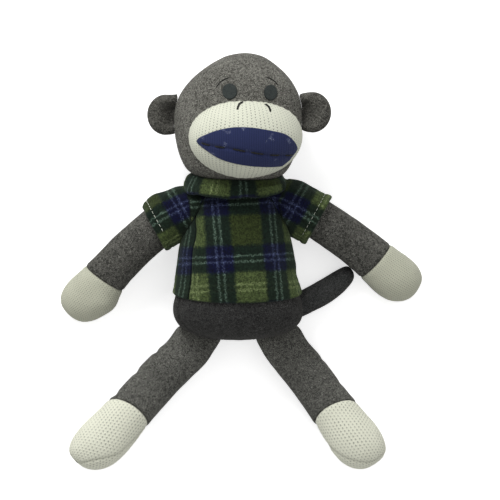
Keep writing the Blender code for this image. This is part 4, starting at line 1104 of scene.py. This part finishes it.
def make_sleeve(side, body_tree):
    """One short sleeve in two pieces, from the armhole to the shoulder's middle and on to the cuff."""
    sign = SIDES[side]["sign"]
    turn = -SLEEVE_TURN if sign > 0 else pi + SLEEVE_TURN
    place = placed(Vector(PIVOTS[side]) - placed((0, 0, 0), turn) @ Vector((SLEEVE_BACK, 0, 0)), turn)
    rows = ring_rows(SLEEVE_RINGS, SLEEVE, sign)
    phi = turns(150)
    scan = levels(0.0, 5.0, 110)
    middle, last = np.interp((SLEEVE_BACK, SLEEVE[0]), spline(rows, scan[:, 0])[:, 0], scan[:, 0])
    off = heights(body_tree, form(rows, place, scan, phi))[0]
    start = np.zeros_like(phi)
    for n in range(phi.size):
        inside = np.nonzero(off[:, n] < 0.0)[0]
        k = min(inside[-1], 108) if len(inside) else 0
        gain = off[k, n] / (off[k, n] - off[k + 1, n]) if len(inside) else 0.0
        start[0, n] = min(scan[k, 0] + gain * scan[1, 0], middle - 0.25)
    start = (np.roll(start, 1) + np.roll(start, -1) + 2 * start) / 4
    t = np.concatenate([start + (middle - start) * levels(0, 1, 40),
                        middle + (last - middle) * levels(0, 1, 36)[1:] + 0 * start])
    base = form(rows, place, t, phi)
    out = normals(base)
    run = lengths(base, 0)
    end_off = run[-1] - run
    x, y = base[..., 0], base[..., 1]
    hole_y, hole_x = np.array(ARMHOLES[side]).T[::-1] * MM
    inside = sign * (np.interp(y, hole_y, hole_x) - x)
    upper = ramp(base[..., 2], 0.020, 0.030)
    lift = 0.0014 * lumps(base, 0.016, 50 + sign) + 0.0006 * lumps(base, 0.007, 52)
    lift = lift - upper * (0.0010 * bell(inside, 0.0012) - 0.0003 * bell(inside - 0.003, 0.003) * np.cos(y * 1500))
    lift = lift - 0.0010 * bell(run, 0.0014) + 0.0005 * bell(run, 0.006) * np.cos(9 * phi + 1.5 * np.sin(2 * phi))
    lift = lift - 0.0005 * bell(end_off - HEM_DEPTH, 0.0009) - edge_roll(end_off, 0.0012, 0.0014)
    lift = lift - CUFF_DROPS[side] * ramp(out[..., 1], 0.35, 0.85) * bell(end_off, 0.0046)
    lift = lift + 0.0006 * bell(end_off - 0.0025, 0.0025) + 0.0005 * bell(end_off, 0.005) * np.cos(5 * phi + 2)
    points = above_floor(base + out * lift[..., None], 0.0003)
    along = spline(rows, np.concatenate([t, t[:, :1]], 1))[..., 0]
    girth = sign * (pi / 2 - levels(0, 2 * pi, 151).T) * (SLEEVE[1] + SLEEVE[2]) / 4
    flat = np.stack(np.broadcast_arrays(along, girth), -1) - SLEEVE_ZEROS[side]
    body = front_map(x, x, y)
    body = np.concatenate([body, body[:, :1]], 1)
    # Painted shade at the armhole, at the cuff's edge and along the armhole seam on the body
    painted_shade = np.maximum(0.5 * bell(run, 0.0009), 0.35 * bell(end_off, 0.0005))
    painted_shade = np.maximum(painted_shade, 0.8 * upper * bell(inside, 0.0007))
    on_body = (inside > 0) & (upper > 0.3)
    start_at, middle_at, end_at = (place @ Vector((s, 0, 0)) for s in (0.004, SLEEVE_BACK, SLEEVE[0] - 0.002))
    top = grid_object("sleeve_top_" + side, points[:40], flat[:40], PLAID, painted_shade=painted_shade[:40], closed=False,
                      other=body[:40], where=on_body[:40])
    cuff = grid_object("sleeve_cuff_" + side, points[39:], flat[39:], PLAID, painted_shade=painted_shade[39:], closed=False)
    for piece, one, two, first, second, length in (
        (top, "torso", "shoulder_" + side, start_at, middle_at, 0.020),
        (cuff, "shoulder_" + side, "arm_" + side, middle_at, end_at, 0.019),
    ):
        thicken(piece, 0.0012)
        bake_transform(piece)
        dress(piece, None, ("sleeve_" + side,))
    row = np.argmin(np.abs(end_off.mean(1) - HEM_DEPTH))
    arc = np.mod(phi[0] - radians(-70.0), 2 * pi)
    order = np.argsort(arc)
    seen = out[row, :, 1] > (-0.30 if sign < 0 else -0.75)
    keep = order[((arc > radians(20)) & (arc < radians(300)) & seen)[order]]
    line, ups = (points[row] + out[row] * 0.0001)[keep], out[row, keep]
    total = lengths(line, 0)
    laid = []
    for begin in np.arange(0.0, total[-1] - HEM_STITCH, HEM_STITCH_EVERY):
        at = np.linspace(begin, begin + HEM_STITCH, 12)
        laid.append(sunk(sampled(line, total, at), sampled(ups, total, at), 0.00025, 0.0007, 4))
    stitches = threads("sleeve_stitches_" + side, laid, 0.00020 if sign < 0 else 0.00013, WHITE_YARN, 8)
    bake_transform(stitches)
    dress(stitches, None, ("sleeve_thread_" + side,))


def make_collar(head_tree, muzzle_tree, body_tree):
    """The rolled collar, a folded band of the same flannel."""
    angle, around = turns(260).T, turns(44)
    half = COLLAR[2] / 2
    reach = np.stack([np.cos(angle), 0 * angle, np.sin(angle)], -1)
    centre = np.array(NECK_POINT) + reach * (COLLAR[0] / 2 - half, 0, COLLAR[1] / 2 - half)
    fall = 0.0060 + 0.0008 * ramp(np.sin(angle), -0.15, 0.15)
    centre[..., 1] += 0.0045 - fall * np.sqrt(np.sin(angle) ** 2 + 0.0009)
    puff = 1 + 0.05 * lumps(reach, 0.22, 60)
    wide = np.sign(np.cos(around)) * np.abs(np.cos(around)) ** 0.75 * 0.0056 * puff
    wide = wide - COLLAR_FILL * np.clip(-np.cos(around), 0, 1) * np.clip(0.3 - np.sin(around), 0, 1)
    tall = np.sign(np.sin(around)) * np.abs(np.sin(around)) ** 0.85 * 0.0078
    tall = tall * (1 + 0.07 * np.cos(7 * angle) + 0.05 * np.cos(11 * angle + 1))
    points = centre + reach * (wide - 0.40 * tall)[..., None]
    points[..., 1] += tall
    points = points + (0.0009 * lumps(points, 0.010, 61) + 0.0004 * lumps(points, 0.004, 62))[..., None] * reach
    for tree, room in ((body_tree, 0.0003), (muzzle_tree, 0.0004), (head_tree, 0.0004)):
        points = push_out(points, tree, room)
    points = clear_ball(points, NECK_POINT, NECK_RADIUS + 0.0004)
    points = np.concatenate([points, points[:1]])
    arc = lengths(np.concatenate([centre[:, 0], centre[:1, 0]]), 0)[:, None]
    flat = np.stack(np.broadcast_arrays(-1.12 * (arc - arc[65]), levels(0, COLLAR_GIRTH, 45).T), -1) - COLLAR_ZERO
    obj = grid_object("collar_cover", points[::-1], flat[::-1], PLAID)
    stuffed(obj, "torso", ("collar",))


def make_stage():
    """A pale floor, soft light and the camera straight above the doll."""
    paint = Graph("floor_white", 1.0)
    paint.shader.inputs["Specular IOR Level"].default_value = 0.0
    paint.put((0.93, 0.93, 0.93, 1), paint.shader.inputs["Base Color"])
    paint.put((1, 1, 1, 1), paint.shader.inputs["Emission Color"])
    seen = paint.node("ShaderNodeLightPath").outputs["Is Camera Ray"]
    paint.put(paint.times(seen, 0.60), paint.shader.inputs["Emission Strength"])
    floor = linked("floor", bpy.data.meshes.new("floor"))
    with editing(floor.data) as bm:
        bmesh.ops.create_grid(bm, x_segments=1, y_segments=1, size=30.0)
    floor.location.z = -0.0002
    floor.data.materials.append(paint.material)
    scene = bpy.context.scene
    scene.world = bpy.data.worlds.new("soft_white")
    scene.world.use_nodes = True
    nodes, links = scene.world.node_tree.nodes, scene.world.node_tree.links
    nodes["Background"].inputs["Color"].default_value = (1, 1, 1, 1)
    glow = nodes.new("ShaderNodeMapRange")
    glow.inputs["To Min"].default_value = 0.52
    links.new(nodes.new("ShaderNodeLightPath").outputs["Is Camera Ray"], glow.inputs["Value"])
    links.new(glow.outputs["Result"], nodes["Background"].inputs["Strength"])
    for name, spot, size, watts in (("key", (-0.6, 1.35, 1.05), 0.9, 23.0), ("fill", (0.7, 0.3, 1.8), 1.4, 4.0)):
        lamp = bpy.data.lights.new(name, "AREA")
        lamp.shape = "DISK"
        lamp.size = size
        lamp.energy = watts
        obj = linked(name, lamp)
        obj.location = spot
        obj.rotation_euler = (Vector((0, 0.02, 0)) - Vector(spot)).to_track_quat("-Z", "Y").to_euler()
    lens = bpy.data.cameras.new("camera")
    lens.sensor_width = 36.0
    lens.lens = lens.sensor_width * (CAMERA_HEIGHT - 0.04) / 0.4
    lens.clip_end = 100.0
    camera = linked("camera", lens)
    camera.location = (0.0096, 0.0096, CAMERA_HEIGHT)
    scene.camera = camera
    scene.view_settings.view_transform = "Standard"


make_stage()
torso_rows, torso_place = make_torso()
make_neck()
head_tree = make_head()
muzzle_tree = make_muzzle(head_tree)
make_face(head_tree, muzzle_tree)
pullover_tree = make_pullover(torso_rows, torso_place)
make_collar(head_tree, muzzle_tree, pullover_tree)
for body_side in SIDES:
    make_ear(body_side, head_tree)
    make_arm(body_side)
    make_leg(body_side)
    make_sleeve(body_side, pullover_tree)
make_tail()
